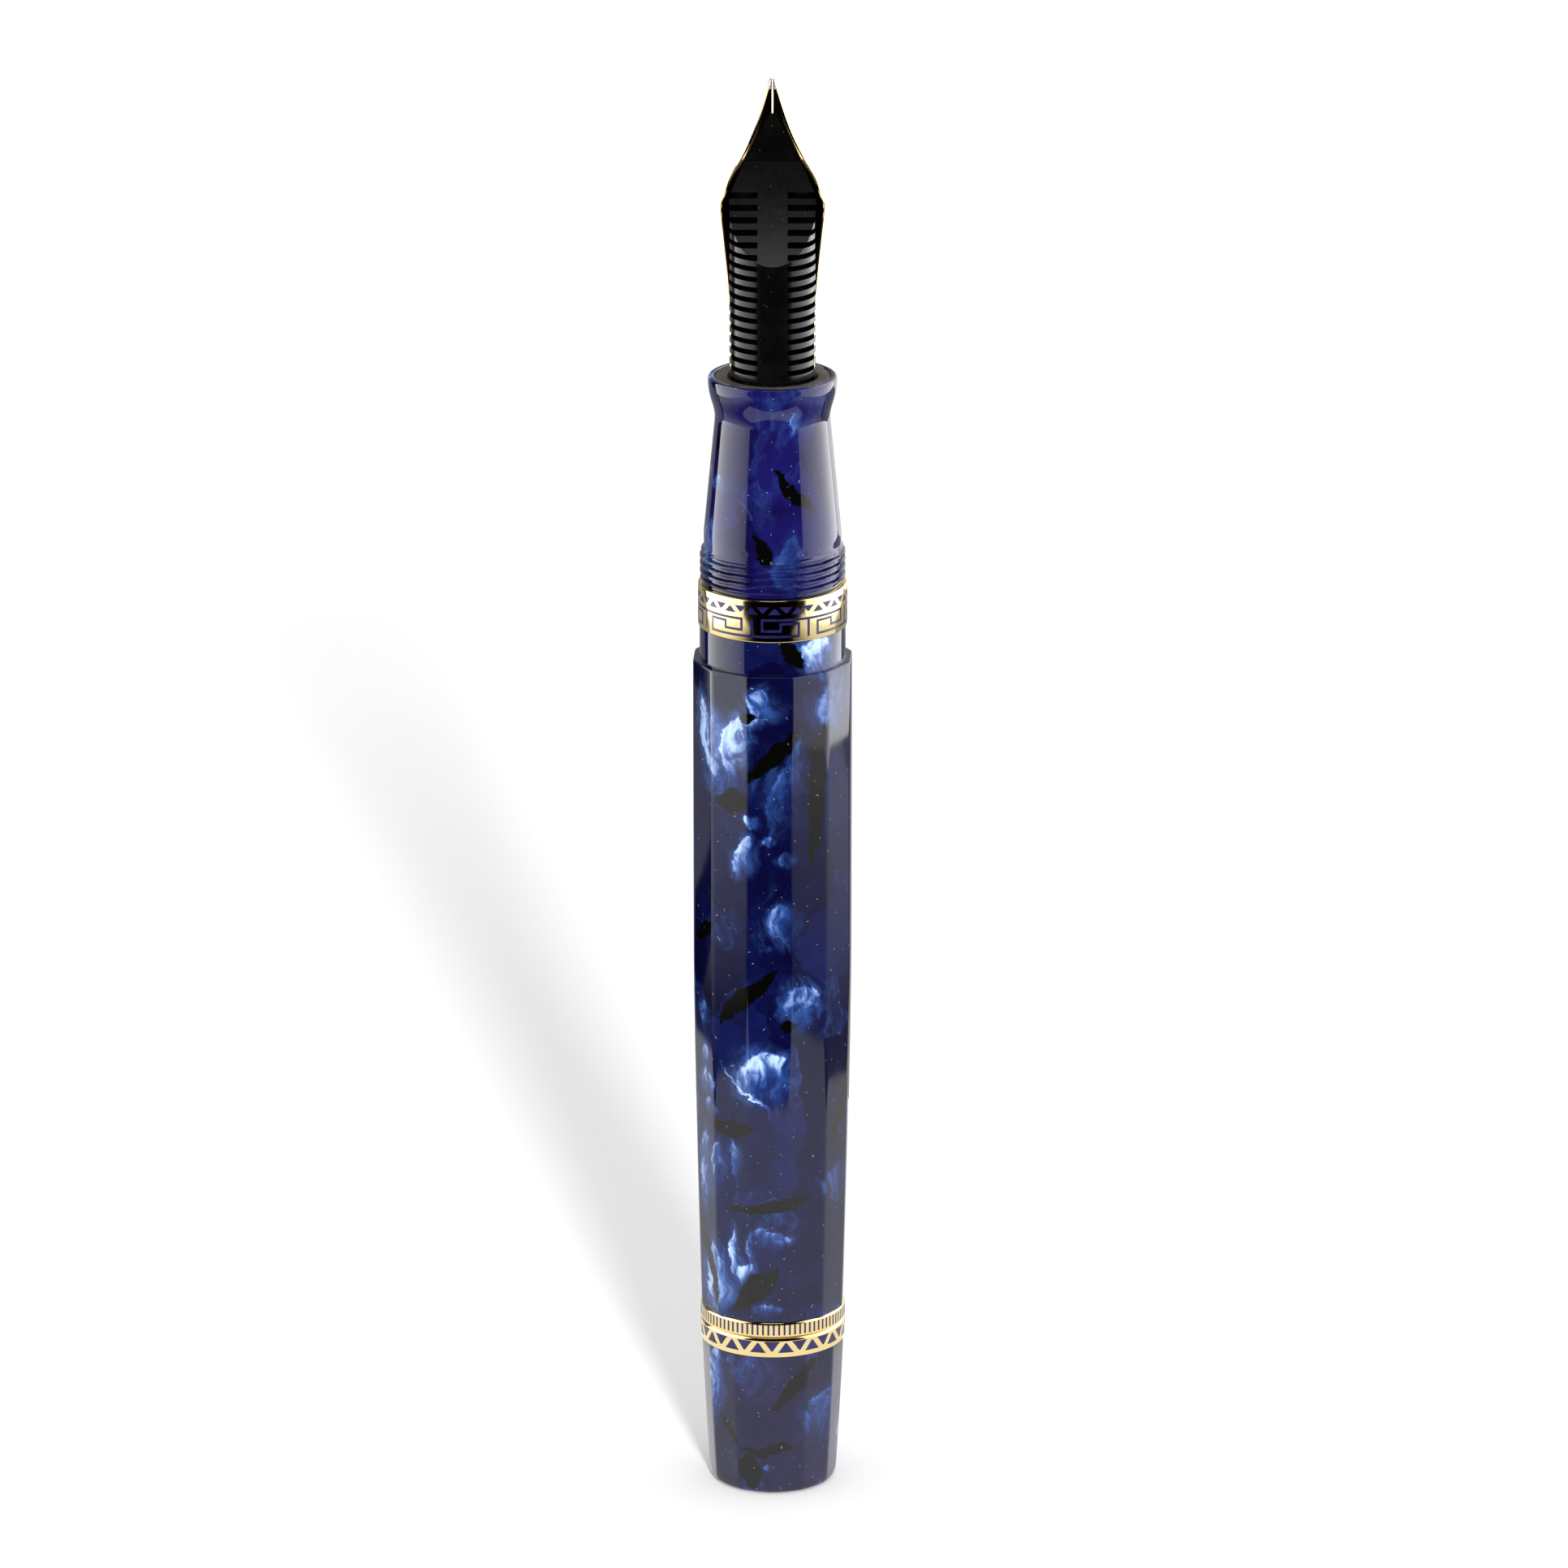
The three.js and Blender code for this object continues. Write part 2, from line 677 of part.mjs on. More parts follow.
// One half of the hard tip, welded to the end of one tine
function tipPellet(side) {
  const near = SLIT_WIDTH / 2;
  const pellet = solid(new THREE.SphereGeometry(1, 12, 8)
    .rotateX(Math.PI / 2)
    .scale(0.34, 0.4, 0.5)
    .translate(side * near, 3.4, PEN_LENGTH - 0.5));
  const xs = [side * near, side].sort((a, b) => a - b);
  return pellet.intersect(block([xs[0], 2, NIB_END + SEAM], [xs[1], 5, PEN_LENGTH + 1]));
}

// ---------------------------------------------------------------- feed

// The feed seen from the front, as wide as its barrel and then pointed under the nib
function feedOutline() {
  const halfTip = 0.45;
  const wide = FIN_RADIUS + 0.1;
  const narrowFrom = 126.4;
  const outline = new THREE.Shape();
  outline.moveTo(-wide, FEED_TAIL_BOTTOM - 1);
  outline.lineTo(wide, FEED_TAIL_BOTTOM - 1);
  outline.lineTo(wide, narrowFrom);
  outline.quadraticCurveTo(1.9, 130.6, halfTip, FEED_TIP - 0.4);
  outline.quadraticCurveTo(halfTip * 0.8, FEED_TIP, 0, FEED_TIP);
  outline.quadraticCurveTo(-halfTip * 0.8, FEED_TIP, -halfTip, FEED_TIP - 0.4);
  outline.quadraticCurveTo(-1.9, 130.6, -wide, narrowFrom);
  return new THREE.ExtrudeGeometry(outline, { depth: 12, bevelEnabled: false, curveSegments: 5 })
    .rotateX(Math.PI / 2)
    .translate(0, 6, 0);
}

// What is taken off the front: a long slope, and a thinner tongue beyond a small step.
// Points are [y, z], and the slope meets the front of the feed at z 120.6
function feedFront() {
  const side = new THREE.Shape([
    new THREE.Vector2(-6, 118.47),
    new THREE.Vector2(2.4, 129.35),
    new THREE.Vector2(2.72, 129.35),
    new THREE.Vector2(3.2, 134.2),
    new THREE.Vector2(-6, 136),
  ]);
  return new THREE.ExtrudeGeometry(side, { depth: 12, bevelEnabled: false })
    .applyMatrix4(new THREE.Matrix4().makeBasis(
      new THREE.Vector3(0, 1, 0),
      new THREE.Vector3(0, 0, 1),
      new THREE.Vector3(1, 0, 0),
    ))
    .translate(-6, 0, 0);
}

function feed() {
  const body = turned([
    [0, FEED_TAIL_BOTTOM],
    [FEED_TAIL_RADIUS, FEED_TAIL_BOTTOM],
    [FEED_TAIL_RADIUS, FEED_BOTTOM],
    [FEED_RADIUS, FEED_BOTTOM],
    [FEED_RADIUS, FIN_BOTTOM],
    [FIN_RADIUS, FIN_BOTTOM],
    [FIN_RADIUS, FEED_TIP + 1],
    [0, FEED_TIP + 1],
  ], FEED_SIDES);
  const underNib = nibSheet({
    bottom: FIN_BOTTOM - 0.5,
    top: 135.9,
    across: 14,
    along: 16,
    spread: 1.03,
    inner: (section) => section.thick + 0.08,
    outer: () => -2,
  });
  let shape = body.intersect(solid(feedOutline())).subtract(solid(feedFront())).subtract(underNib);
  for (let i = 0; i < FIN_COUNT; i += 1) {
    const high = TOP_SLOT - i * FIN_PITCH;
    for (const side of [-1, 1]) {
      const xs = [side * SPINE_HALF_WIDTH, side * 7].sort((p, q) => p - q);
      shape = shape.subtract(block([xs[0], -7, high - SLOT_HEIGHT], [xs[1], 7, high]));
    }
  }
  const inkChannel = block([-0.2, 2.7, FEED_BOTTOM - 1], [0.2, 5, INK_CHANNEL_TOP]);
  return shape.subtract(inkChannel);
}

// ---------------------------------------------------------------- the pen

const pen = new THREE.Group();

// A group holds the pieces of one moving body
function body(pieces) {
  const group = new THREE.Group();
  for (const [name, shape, material, height = 0] of pieces) {
    const mesh = new THREE.Mesh(geometryOf(shape), material);
    mesh.name = name;
    mesh.position.z = height;
    group.add(mesh);
  }
  pen.add(group);
}

body([
  ['knob_shell', knobShell(), celluloid],
  ['knob_trim_ring', knobTrimRing(), gold],
  ['knob_insert', knobInsert(), brass],
  ['spindle', spindle(), steel],
  ['spindle_pin', spindlePin(), steel],
]);

body([
  ['slip_washer', slipWasher(), whitePlastic],
]);

body([
  ['barrel_shell', barrelShell(), celluloid],
  ['rear_trim_ring', rearTrimRing(), gold],
  ['mechanism_housing', mechanismHousing(), brass],
  ['rod_guide', rodGuide(), whitePlastic],
  ['housing_o_ring', ring(5.1, 0.54), rubber, (GUIDE_FLANGE_TOP + CHAMBER_BOTTOM) / 2],
  ['section_o_ring', ring(5.15, 0.5), rubber, (CHAMBER_TOP + TENON_BOTTOM) / 2],
  ['section_grip', sectionGrip(), celluloid],
  ['front_trim_band', frontTrimBand(), gold],
  ['nib_housing', nibHousing(), collarPlastic],
  ['nib', nib(), gold],
  ['tip_pellet_left', tipPellet(-1), iridium],
  ['tip_pellet_right', tipPellet(1), iridium],
  ['feed', feed(), ebonite],
]);

body([
  ['piston_rod', pistonRod(), whitePlastic],
  ['piston_head', pistonHead(), whitePlastic],
  ['piston_seal_rear', pistonSeal(), rubber, REAR_SEAL],
  ['piston_seal_front', pistonSeal(), rubber, FRONT_SEAL],
  ['piston_screw', pistonScrew(), steel],
]);

export default pen;
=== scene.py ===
"""A twelve-sided piston-filling fountain pen in blue marbled celluloid, uncapped, standing
on its filler knob. Lengths in this script are millimetres until add_mesh turns them into
metres. Angles round the pen are degrees from -Y towards +X."""

import functools
import json
import math

import bmesh
import bpy
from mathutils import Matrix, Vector


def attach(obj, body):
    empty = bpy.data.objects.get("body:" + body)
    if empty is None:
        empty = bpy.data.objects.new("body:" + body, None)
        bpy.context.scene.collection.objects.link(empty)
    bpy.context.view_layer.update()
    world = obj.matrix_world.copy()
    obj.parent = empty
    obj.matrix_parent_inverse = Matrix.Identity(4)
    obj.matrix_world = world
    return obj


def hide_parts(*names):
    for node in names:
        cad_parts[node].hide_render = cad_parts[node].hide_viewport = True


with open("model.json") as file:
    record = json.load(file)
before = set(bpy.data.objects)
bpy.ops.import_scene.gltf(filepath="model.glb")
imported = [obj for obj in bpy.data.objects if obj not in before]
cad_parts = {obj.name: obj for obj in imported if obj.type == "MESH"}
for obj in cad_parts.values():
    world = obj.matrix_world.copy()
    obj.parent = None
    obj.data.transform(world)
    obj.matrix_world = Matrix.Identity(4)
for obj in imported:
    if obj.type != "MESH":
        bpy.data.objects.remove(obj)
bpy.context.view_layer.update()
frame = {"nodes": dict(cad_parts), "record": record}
MM = 0.001

# ---- dimensions, as in the CAD unless a comment says otherwise

FACETS = 12
FACET_ANGLE = 360 / FACETS
BARREL_TURN = -17.5
KNOB_TURN = -2.0
CORNER_RADIUS = 1.1
FACET_CROWN = 0.012

KNOB_TOP = 14.3
KNOB_RING_TOP = 16.3
REAR_RING_BOTTOM = 16.35
BARREL_BOTTOM = 17.85
BARREL_STRAIGHT = 53.8
SHOULDER = 82.2
NECK_TOP = 85.4
BAND_TOP = 89.5
CAP_THREAD_TOP = 93.3
GRIP_BOTTOM = 94.5
LIP_TOP = 109.5
NIB_BOTTOM = 99.0
NIB_END = 136.0
PEN_LENGTH = 137.0
SEAM = 0.03

KNOB_END_RADIUS = 6.08
KNOB_TOP_RADIUS = 6.82
BARREL_END_RADIUS = 6.98
BARREL_RADIUS = 7.69
RING_RADIUS = 6.9
NECK_RADIUS = 6.87
BAND_RADIUS = 7.0
TENON_RADIUS = 5.35

THREAD_ROOT = 6.45
THREAD_HEIGHT = 0.38
THREAD_PITCH = 0.72

# Thinner than the CAD's slit of 0.24
SLIT_WIDTH = 0.13
BREATHER_HEIGHT = 121.5
BREATHER_RADIUS = 0.8

FIN_COUNT = 17
FIN_PITCH = 1.0
TOP_SLOT = 126.8
SLOT_HEIGHT = 0.5
SPINE_HALF_WIDTH = 1.4
FEED_RADIUS = 3.7
FIN_RADIUS = 4.02
FIN_BOTTOM = 109.7
FEED_BOTTOM = 98.3
FEED_TIP = 133.7
FEED_TAIL_RADIUS = 1.6
FEED_TAIL_BOTTOM = 88.0
INK_CHANNEL_TOP = 128.8

# The nib from its shank to its end: height, half width, half the angle that the sheet wraps,
# height of its crown over the pen's axis, thickness
NIB_STATIONS = [
    (99, 3.95, 88, 3.95, 0.2),
    (113.5, 3.95, 88, 3.95, 0.2),
    (118, 4.18, 83, 3.95, 0.2),
    (122.5, 4.65, 72, 3.93, 0.2),
    (125.6, 4.94, 64, 3.9, 0.22),
    (126.4, 4.64, 59, 3.88, 0.23),
    (127.9, 4.12, 51, 3.86, 0.24),
    (129.4, 3.14, 39, 3.83, 0.25),
    (131.4, 2.07, 27, 3.78, 0.27),
    (133.4, 1.26, 18, 3.72, 0.3),
    (136, 0.5, 9, 3.62, 0.36),
]

# ---- pattern of the celluloid

UNROLLED_RADIUS = 7.3

# The torn rims of flakes and veins eat into them, so both are drawn larger than their sizes
FLAKE_STRETCH, FLAKE_SPREAD = 1.1, 1.25
VEIN_STRETCH, VEIN_SPREAD = 1.15, 1.6

# Pale flakes: direction from the axis, height, half length, half width as seen from the
# front, lean of the upper end towards growing angles, brightness
FLAKES = [
    (-57, 10.5, 3.6, 0.5, 10, 0.75),
    (-38, 13.2, 0.6, 0.4, 0, 0.6),
    (-18, 12.2, 2, 2, 0, 0.3),
    (-6, 2.8, 0.4, 0.3, 0, 0.5),
    (45, 7.8, 2.8, 1.2, 45, 0.45),
    (-52, 21.8, 3.1, 0.95, -4, 1.2),
    (-31.5, 24.4, 2.4, 0.38, -5, 0.9),
    (-17.5, 24.9, 1.4, 0.3, 10, 0.6),
    (-23, 22.8, 1.2, 0.75, 20, 0.9),
    (-3.5, 19.3, 1.6, 0.4, 85, 0.6),
    (-1, 26.5, 2, 0.45, 85, 0.6),
    (60, 31, 2, 1, 0, 0.35),
    (-62.5, 32.2, 4, 0.5, 0, 0.7),
    (-48, 33.4, 2.1, 0.5, 5, 0.8),
    (-29, 34.2, 2, 0.35, -5, 0.65),
    (-56, 38.9, 1, 0.35, 90, 0.8),
    (-57, 41.2, 1.1, 0.5, 90, 0.9),
    (-58, 43.9, 1, 0.45, 90, 0.7),
    (-8.5, 42.9, 2.6, 1.5, 55, 1),
    (1.5, 40.9, 1.8, 0.8, 55, 0.4),
    (-19.5, 41.3, 2.4, 0.16, -45, 1.2),
    (-64, 48, 1.3, 0.3, 0, 0.7),
    (21.4, 50, 1.8, 1.3, 70, 0.8),
    (7, 57.8, 2, 1, 0, 0.6),
    (11.5, 64.4, 0.6, 0.6, 0, 0.5),
    (-21, 64.6, 2.1, 0.7, 10, 0.85),
    (-3, 66.2, 0.5, 0.5, 0, 0.8),
    (-18, 68.2, 0.5, 0.4, 0, 1),
    (8, 71, 4.8, 1, 16, 0.38),
    (-36, 71.8, 2.2, 1.9, 0, 0.4),
    (-32.6, 75.4, 2.6, 0.8, 8, 1.2),
    (-19, 77.2, 1.8, 0.4, 72, 0.7),
    (-52.6, 75.7, 3.3, 0.75, -15, 1.2),
    (52, 79, 2.5, 1.4, 0, 0.5),
    (-7, 79.4, 1.6, 1.1, 0, 0.7),
    (40, 83.6, 1.6, 1.4, 20, 1.1),
    (15, 92.5, 2.8, 1.4, 0, 0.35),
    (-65, 93.5, 2.4, 0.6, 0, 0.7),
    (-62, 100, 0.7, 0.6, 0, 0.7),
    (21, 106.2, 0.9, 0.5, 0, 0.7),
]

# Dark veins: direction from the axis, height, half length, half width, lean
VEINS = [
    (-21.5, 2.6, 1.6, 0.9, 0),
    (-1.6, 4.6, 2.8, 0.45, 90),
    (-43, 6.3, 1.7, 0.45, -45),
    (21, 11.4, 3.1, 0.5, 45),
    (-14.5, 21.3, 3.4, 0.75, 45),
    (-61, 23.5, 4.8, 0.45, -20),
    (0, 29.5, 4.2, 0.42, 80),
    (-34, 37.2, 2.2, 0.6, 90),
    (63.5, 39.5, 4.8, 0.4, 20),
    (11.5, 48, 0.5, 0.4, 0),
    (-20.7, 50.6, 3.7, 0.65, 45),
    (-60, 56.2, 1.6, 0.5, 45),
    (-30.6, 70.1, 1.3, 1.2, 0),
    (33, 70.6, 6.6, 0.6, 4),
    (0, 74.5, 3.2, 0.5, 45),
    (-20, 78.1, 0.7, 0.6, 0),
    (16, 84, 1.4, 0.6, -45),
    (-10.5, 94.2, 1.6, 0.5, -45),
    (22, 99.5, 3.2, 0.45, -45),
    (-63, 103.4, 1.2, 0.4, 0),
]

# ---- shader building


class Surface:
    """A Principled material with helpers that add procedural nodes to it."""

    def __init__(self, name, **settings):
        self.material = bpy.data.materials.new(name)
        self.material.use_nodes = True
        self.tree = self.material.node_tree
        self.shader = self.tree.nodes["Principled BSDF"]
        for socket, value in settings.items():
            self.shader.inputs[socket.replace("_", " ")].default_value = value
        self.place = self.node("ShaderNodeTexCoord").outputs["Object"]

    def node(self, kind, inputs=None, **settings):
        made = self.tree.nodes.new(kind)
        for key, value in settings.items():
            setattr(made, key, value)
        for key, value in (inputs or {}).items():
            self.feed(made.inputs[key], value)
        return made

    def feed(self, socket, value):
        if isinstance(value, bpy.types.NodeSocket):
            self.tree.links.new(value, socket)
        else:
            socket.default_value = value

    def math(self, operation, *values, clamp=False):
        made = self.node("ShaderNodeMath", operation=operation, use_clamp=clamp)
        for socket, value in zip(made.inputs, values):
            self.feed(socket, value)
        return made.outputs[0]

    def vector(self, operation, *values, scale=None):
        made = self.node("ShaderNodeVectorMath", operation=operation)
        for socket, value in zip(made.inputs, values):
            self.feed(socket, value)
        if scale is not None:
            self.feed(made.inputs["Scale"], scale)
        return made.outputs["Value" if operation == "DOT_PRODUCT" else "Vector"]

    def noise(self, place, scale, detail=2.0, roughness=0.5, output="Fac"):
        made = self.node("ShaderNodeTexNoise", {
            "Vector": place, "Scale": scale, "Detail": detail, "Roughness": roughness})
        return made.outputs[output]

    def cells(self, place, scale, feature="F1"):
        return self.node("ShaderNodeTexVoronoi", {"Vector": place, "Scale": scale},
                         feature=feature)

    def step(self, value, low, high):
        """0 below low, 1 above high, and smooth between them. high may be under low."""
        made = self.node("ShaderNodeMapRange", {"Value": value, "From Min": low,
                                                "From Max": high},
                         interpolation_type="SMOOTHSTEP", clamp=True)
        return made.outputs["Result"]

    def mix(self, share, first, second):
        made = self.node("ShaderNodeMix", data_type="RGBA")
        self.feed(made.inputs["Factor"], share)
        for socket, colour in (("A", first), ("B", second)):
            is_link = isinstance(colour, bpy.types.NodeSocket)
            self.feed(made.inputs[socket], colour if is_link else (*colour, 1))
        return made.outputs["Result"]

    def scaled(self, factor):
        if isinstance(factor, (int, float)):
            return self.vector("SCALE", self.place, scale=factor)
        return self.vector("MULTIPLY", self.place, factor)

    def bump(self, height, distance, strength=1.0):
        made = self.node("ShaderNodeBump", {"Height": height, "Distance": distance,
                                            "Strength": strength})
        self.feed(self.shader.inputs["Normal"], made.outputs["Normal"])

    def most(self, values):
        """The largest of several values."""
        return functools.reduce(functools.partial(self.math, "MAXIMUM"), values)

    def times(self, first, second, clamp=False):
        return self.math("MULTIPLY", first, second, clamp=clamp)

    def scale_and_add(self, value, factor, offset):
        return self.math("ADD", self.times(value, factor), offset)

    def colour(self, value):
        self.feed(self.shader.inputs["Base Color"], value)

    def rough(self, value):
        self.feed(self.shader.inputs["Roughness"], value)


def celluloid(name, low, high, deep, clear):
    """Deep blue celluloid with torn pearly flakes, near-black veins and specks of dust. It
    takes the flakes and veins that are placed between two heights."""
    s = Surface(name, IOR=1.5)
    mm = s.scaled(1000.0)
    half = (0.5, 0.5, 0.5)
    slow = s.noise(mm, 0.22, output="Color")
    fine = s.noise(mm, 1.1, 4.0, 0.62, "Color")
    bend = s.vector("SCALE", s.vector("SUBTRACT", slow, half), scale=5.5)
    fray = s.vector("SCALE", s.vector("SUBTRACT", fine, half), scale=1.3)
    bent = s.vector("ADD", s.vector("ADD", mm, bend), fray)

    # Unrolled surface: millimetres round the pen from the front, and up it
    axes = s.node("ShaderNodeSeparateXYZ", {"Vector": mm}).outputs
    angle = s.math("ARCTAN2", axes["X"], s.times(axes["Y"], -1.0))
    unrolled = s.node("ShaderNodeCombineXYZ", {
        "X": s.times(angle, UNROLLED_RADIUS), "Y": axes["Z"]}).outputs["Vector"]
    ragged = s.vector("ADD", s.vector("SCALE", bend, scale=0.45), fray)
    unrolled = s.vector("ADD", unrolled, s.vector("MULTIPLY", ragged, (1.0, 1.0, 0.0)))

    def patch(across, height, length, width, lean):
        """Place within a leaf-shaped patch, with Y along it, and the distance from its middle
        counted so that its rim is at 1."""
        mapping = s.node("ShaderNodeMapping", {
            "Vector": unrolled,
            "Location": (math.radians(across) * UNROLLED_RADIUS, height, 0),
            "Rotation": (0, 0, -math.radians(lean)),
            "Scale": (width, length, 1),
        }, vector_type="TEXTURE")
        inside = mapping.outputs["Vector"]
        parts = s.node("ShaderNodeSeparateXYZ", {"Vector": inside}).outputs
        bulge = s.times(parts["Y"], parts["Y"])
        return inside, s.math("ADD", s.math("ABSOLUTE", parts["X"]), bulge)

    satin = s.vector("MULTIPLY", s.vector("ADD", mm, bend), (1.2, 1.2, 0.28))
    streak = s.step(s.noise(satin, 1.0, 3.0, 0.55), 0.3, 0.7)

    def flake(across, height, length, width, lean, glow):
        spread = FLAKE_SPREAD * width / math.cos(math.radians(across))
        inside, reach = patch(across, height, FLAKE_STRETCH * length, spread, lean)
        # Each flake is painted brighter towards one edge and dimmer towards the other, a
        # painted highlight on its lit side
        painted_lit_side = s.vector("DOT_PRODUCT", inside, (-0.4, 0.2, 0))
        lit = s.times(s.math("ADD", painted_lit_side, 0.66), s.step(reach, 1.2, 0.8))
        halo = s.times(s.step(reach, 2.6, 0.7), 0.36)
        return s.times(s.math("MAXIMUM", lit, halo), glow, clamp=True)

    placed = s.most([flake(*row) for row in FLAKES if low < row[1] < high])
    placed = s.times(placed, s.scale_and_add(streak, 0.75, 0.45))

    # Flakes that nobody placed: soft and few on the front, more of them at the back
    cell_place = s.vector("MULTIPLY", bent, (1.0, 1.0, 0.68))
    cell = s.cells(cell_place, 0.15)
    pick = cell.outputs["Color"]
    away = s.vector("SUBTRACT", cell_place, cell.outputs["Position"])
    side = s.vector("NORMALIZE", s.vector("SUBTRACT", pick, half))
    picked = s.node("ShaderNodeSeparateColor", {"Color": pick}).outputs
    loose_flake = s.times(s.step(picked["Green"], 0.54, 0.56),
                          s.step(s.vector("DOT_PRODUCT", away, side), -0.6, 2.6))
    behind = s.step(s.math("ABSOLUTE", angle), math.radians(70), math.radians(85))
    loose_flake = s.times(s.times(loose_flake, streak), s.scale_and_add(behind, 0.6, 0.22))
    pearl = s.math("MAXIMUM", placed, loose_flake)

    cloud = s.noise(bent, 0.3, 4.0, 0.6)
    depth = s.math("ADD", s.times(picked["Blue"], 0.4), s.times(cloud, 0.8))
    body = s.mix(s.step(depth, 0.4, 0.95), deep, clear)
    body = s.mix(s.step(pearl, 0.02, 0.55), body, (0.022, 0.06, 0.22))
    body = s.mix(s.step(pearl, 0.35, 1.05), body, (0.36, 0.49, 0.78))

    def vein(across, height, length, width, lean):
        reach = patch(across, height, VEIN_STRETCH * length, VEIN_SPREAD * width, lean)[1]
        return s.step(reach, 1.1, 0.85)

    veins = s.most([vein(*row) for row in VEINS if low < row[1] < high])
    gap = s.cells(s.vector("MULTIPLY", bent, (1.0, 1.0, 0.6)), 0.085, "DISTANCE_TO_EDGE")
    network = s.step(gap.outputs["Distance"], 0.05, 0.03)
    network = s.times(network, s.step(cloud, 0.45, 0.55))
    veins = s.math("MAXIMUM", veins, s.times(network, behind))
    body = s.mix(veins, body, (0.0011, 0.0011, 0.0008))

    dust = s.node("ShaderNodeTexVoronoi", {"Vector": unrolled, "Scale": 0.9},
                  voronoi_dimensions="2D")
    dusty = s.node("ShaderNodeSeparateColor", {"Color": dust.outputs["Color"]}).outputs["Red"]
    speck = s.times(s.step(dust.outputs["Distance"], 0.055, 0.02), s.step(dusty, 0.74, 0.76))
    s.colour(s.mix(s.times(speck, 0.45), body, (0.5, 0.52, 0.58)))
    wiped = s.noise(s.scaled((900.0, 900.0, 260.0)), 1.0, 3.0)
    s.rough(s.scale_and_add(wiped, 0.05, s.scale_and_add(speck, 0.5, 0.035)))
    s.bump(s.noise(mm, 0.16, 1.0), 0.00004, 0.5)
    return s.material


def metal(name, colour, dark, roughness, grain=(400.0, 400.0, 90.0), spread=0.1):
    """Polished or machined metal with fine rubbing marks and a slightly uneven tone."""
    s = Surface(name, Metallic=1.0)
    rubbed = s.noise(s.scaled(grain), 1.0, 6.0, 0.7)
    blotch = s.noise(s.place, 300.0, 3.0)
    s.colour(s.mix(s.step(blotch, 0.3, 0.75), colour, dark))
    s.rough(s.scale_and_add(rubbed, spread, roughness))
    s.bump(rubbed, 0.000004, 0.5)
    return s.material


def plain(name, colour, other, roughness, scale, depth, **settings):
    """Moulded or cured material with a fine grain and a second tone in patches."""
    s = Surface(name, **settings)
    grain = s.noise(s.place, scale, 5.0, 0.65)
    patch = s.noise(s.place, scale * 0.13, 3.0)
    s.colour(s.mix(s.step(patch, 0.35, 0.7), colour, other))
    s.rough(s.scale_and_add(grain, 0.16, roughness))
    s.bump(grain, depth, 0.6)
    return s.material


def ebonite():
    """Black hard rubber, satin, with fine scratches and a little dried ink and dust."""
    s = Surface("ebonite", IOR=1.42)
    scratch = s.noise(s.scaled((2600.0, 2600.0, 240.0)), 1.0, 3.0, 0.7)
    cloud = s.noise(s.place, 380.0, 4.0, 0.6)
    lint = s.cells(s.scaled(1000.0), 1.5)
    mark = s.step(lint.outputs["Distance"], 0.085, 0.03)
    tone = s.mix(s.step(cloud, 0.4, 0.75), (0.0012, 0.0012, 0.0013), (0.0028, 0.0028, 0.003))
    s.colour(s.mix(s.times(mark, 0.3), tone, (0.2, 0.2, 0.2)))
    s.rough(s.scale_and_add(scratch, 0.1, 0.12))
    s.bump(scratch, 0.000006, 0.35)
    return s.material


def dusty_collar():
    """Matt grey plastic with pale dust caught on it."""
    s = Surface("housing_plastic", IOR=1.45)
    grain = s.noise(s.place, 9000.0, 4.0, 0.7)
    patch = s.noise(s.place, 1100.0, 3.0, 0.6)
    tone = s.mix(s.step(patch, 0.35, 0.7), (0.03, 0.028, 0.025), (0.06, 0.056, 0.05))
    s.colour(s.mix(s.step(grain, 0.58, 0.75), tone, (0.28, 0.27, 0.25)))
    s.rough(s.scale_and_add(grain, 0.2, 0.5))
    s.bump(grain, 0.00002, 0.7)
    return s.material


def enamel():
    """Dark blue glassy enamel with a faint cloud in its colour."""
    s = Surface("enamel", IOR=1.5)
    cloud = s.noise(s.place, 900.0, 3.0)
    s.colour(s.mix(s.step(cloud, 0.3, 0.7), (0.006, 0.005, 0.036), (0.013, 0.011, 0.075)))
    s.rough(s.scale_and_add(cloud, 0.08, 0.1))
    s.bump(cloud, 0.00001, 0.4)
    return s.material


# The knob's celluloid is the barrel's celluloid painted lighter and greyer, a painted
# reflection of the pale floor on its low facets
KNOB_CELLULOID_PAINTED_REFLECTION = celluloid("knob_celluloid_painted_reflection", -1, 15, (0.0055, 0.0045, 0.022),
                           (0.011, 0.009, 0.048))
BARREL_CELLULOID = celluloid("barrel_celluloid", 15, 86, (0.0014, 0.0013, 0.018),
                             (0.0035, 0.006, 0.05))
SECTION_CELLULOID = celluloid("section_celluloid", 86, 111, (0.0032, 0.0022, 0.03),
                              (0.007, 0.0055, 0.075))
GOLD = metal("gold_trim", (0.92, 0.74, 0.38), (0.86, 0.67, 0.31), 0.07)
NIB_GOLD = metal("nib_gold", (0.95, 0.72, 0.36), (0.9, 0.66, 0.29), 0.1)
IRIDIUM = metal("iridium", (0.6, 0.52, 0.42), (0.45, 0.38, 0.3), 0.3)
BRASS = metal("brass", (0.56, 0.4, 0.17), (0.46, 0.31, 0.12), 0.24, (200.0, 200.0, 4000.0))
STEEL = metal("steel", (0.52, 0.52, 0.54), (0.42, 0.42, 0.44), 0.22, (200.0, 200.0, 4000.0))
EBONITE = ebonite()
COLLAR = dusty_collar()
ENAMEL = enamel()
WHITE_PLASTIC = plain("white_plastic", (0.76, 0.74, 0.69), (0.7, 0.67, 0.6), 0.38, 5000.0,
                      0.00001)
RUBBER = plain("seal_rubber", (0.018, 0.018, 0.018), (0.03, 0.03, 0.03), 0.6, 9000.0,
               0.00002)

# ---- mesh building


def add_object(name, data):
    made = bpy.data.objects.new(name, data)
    bpy.context.scene.collection.objects.link(made)
    return made


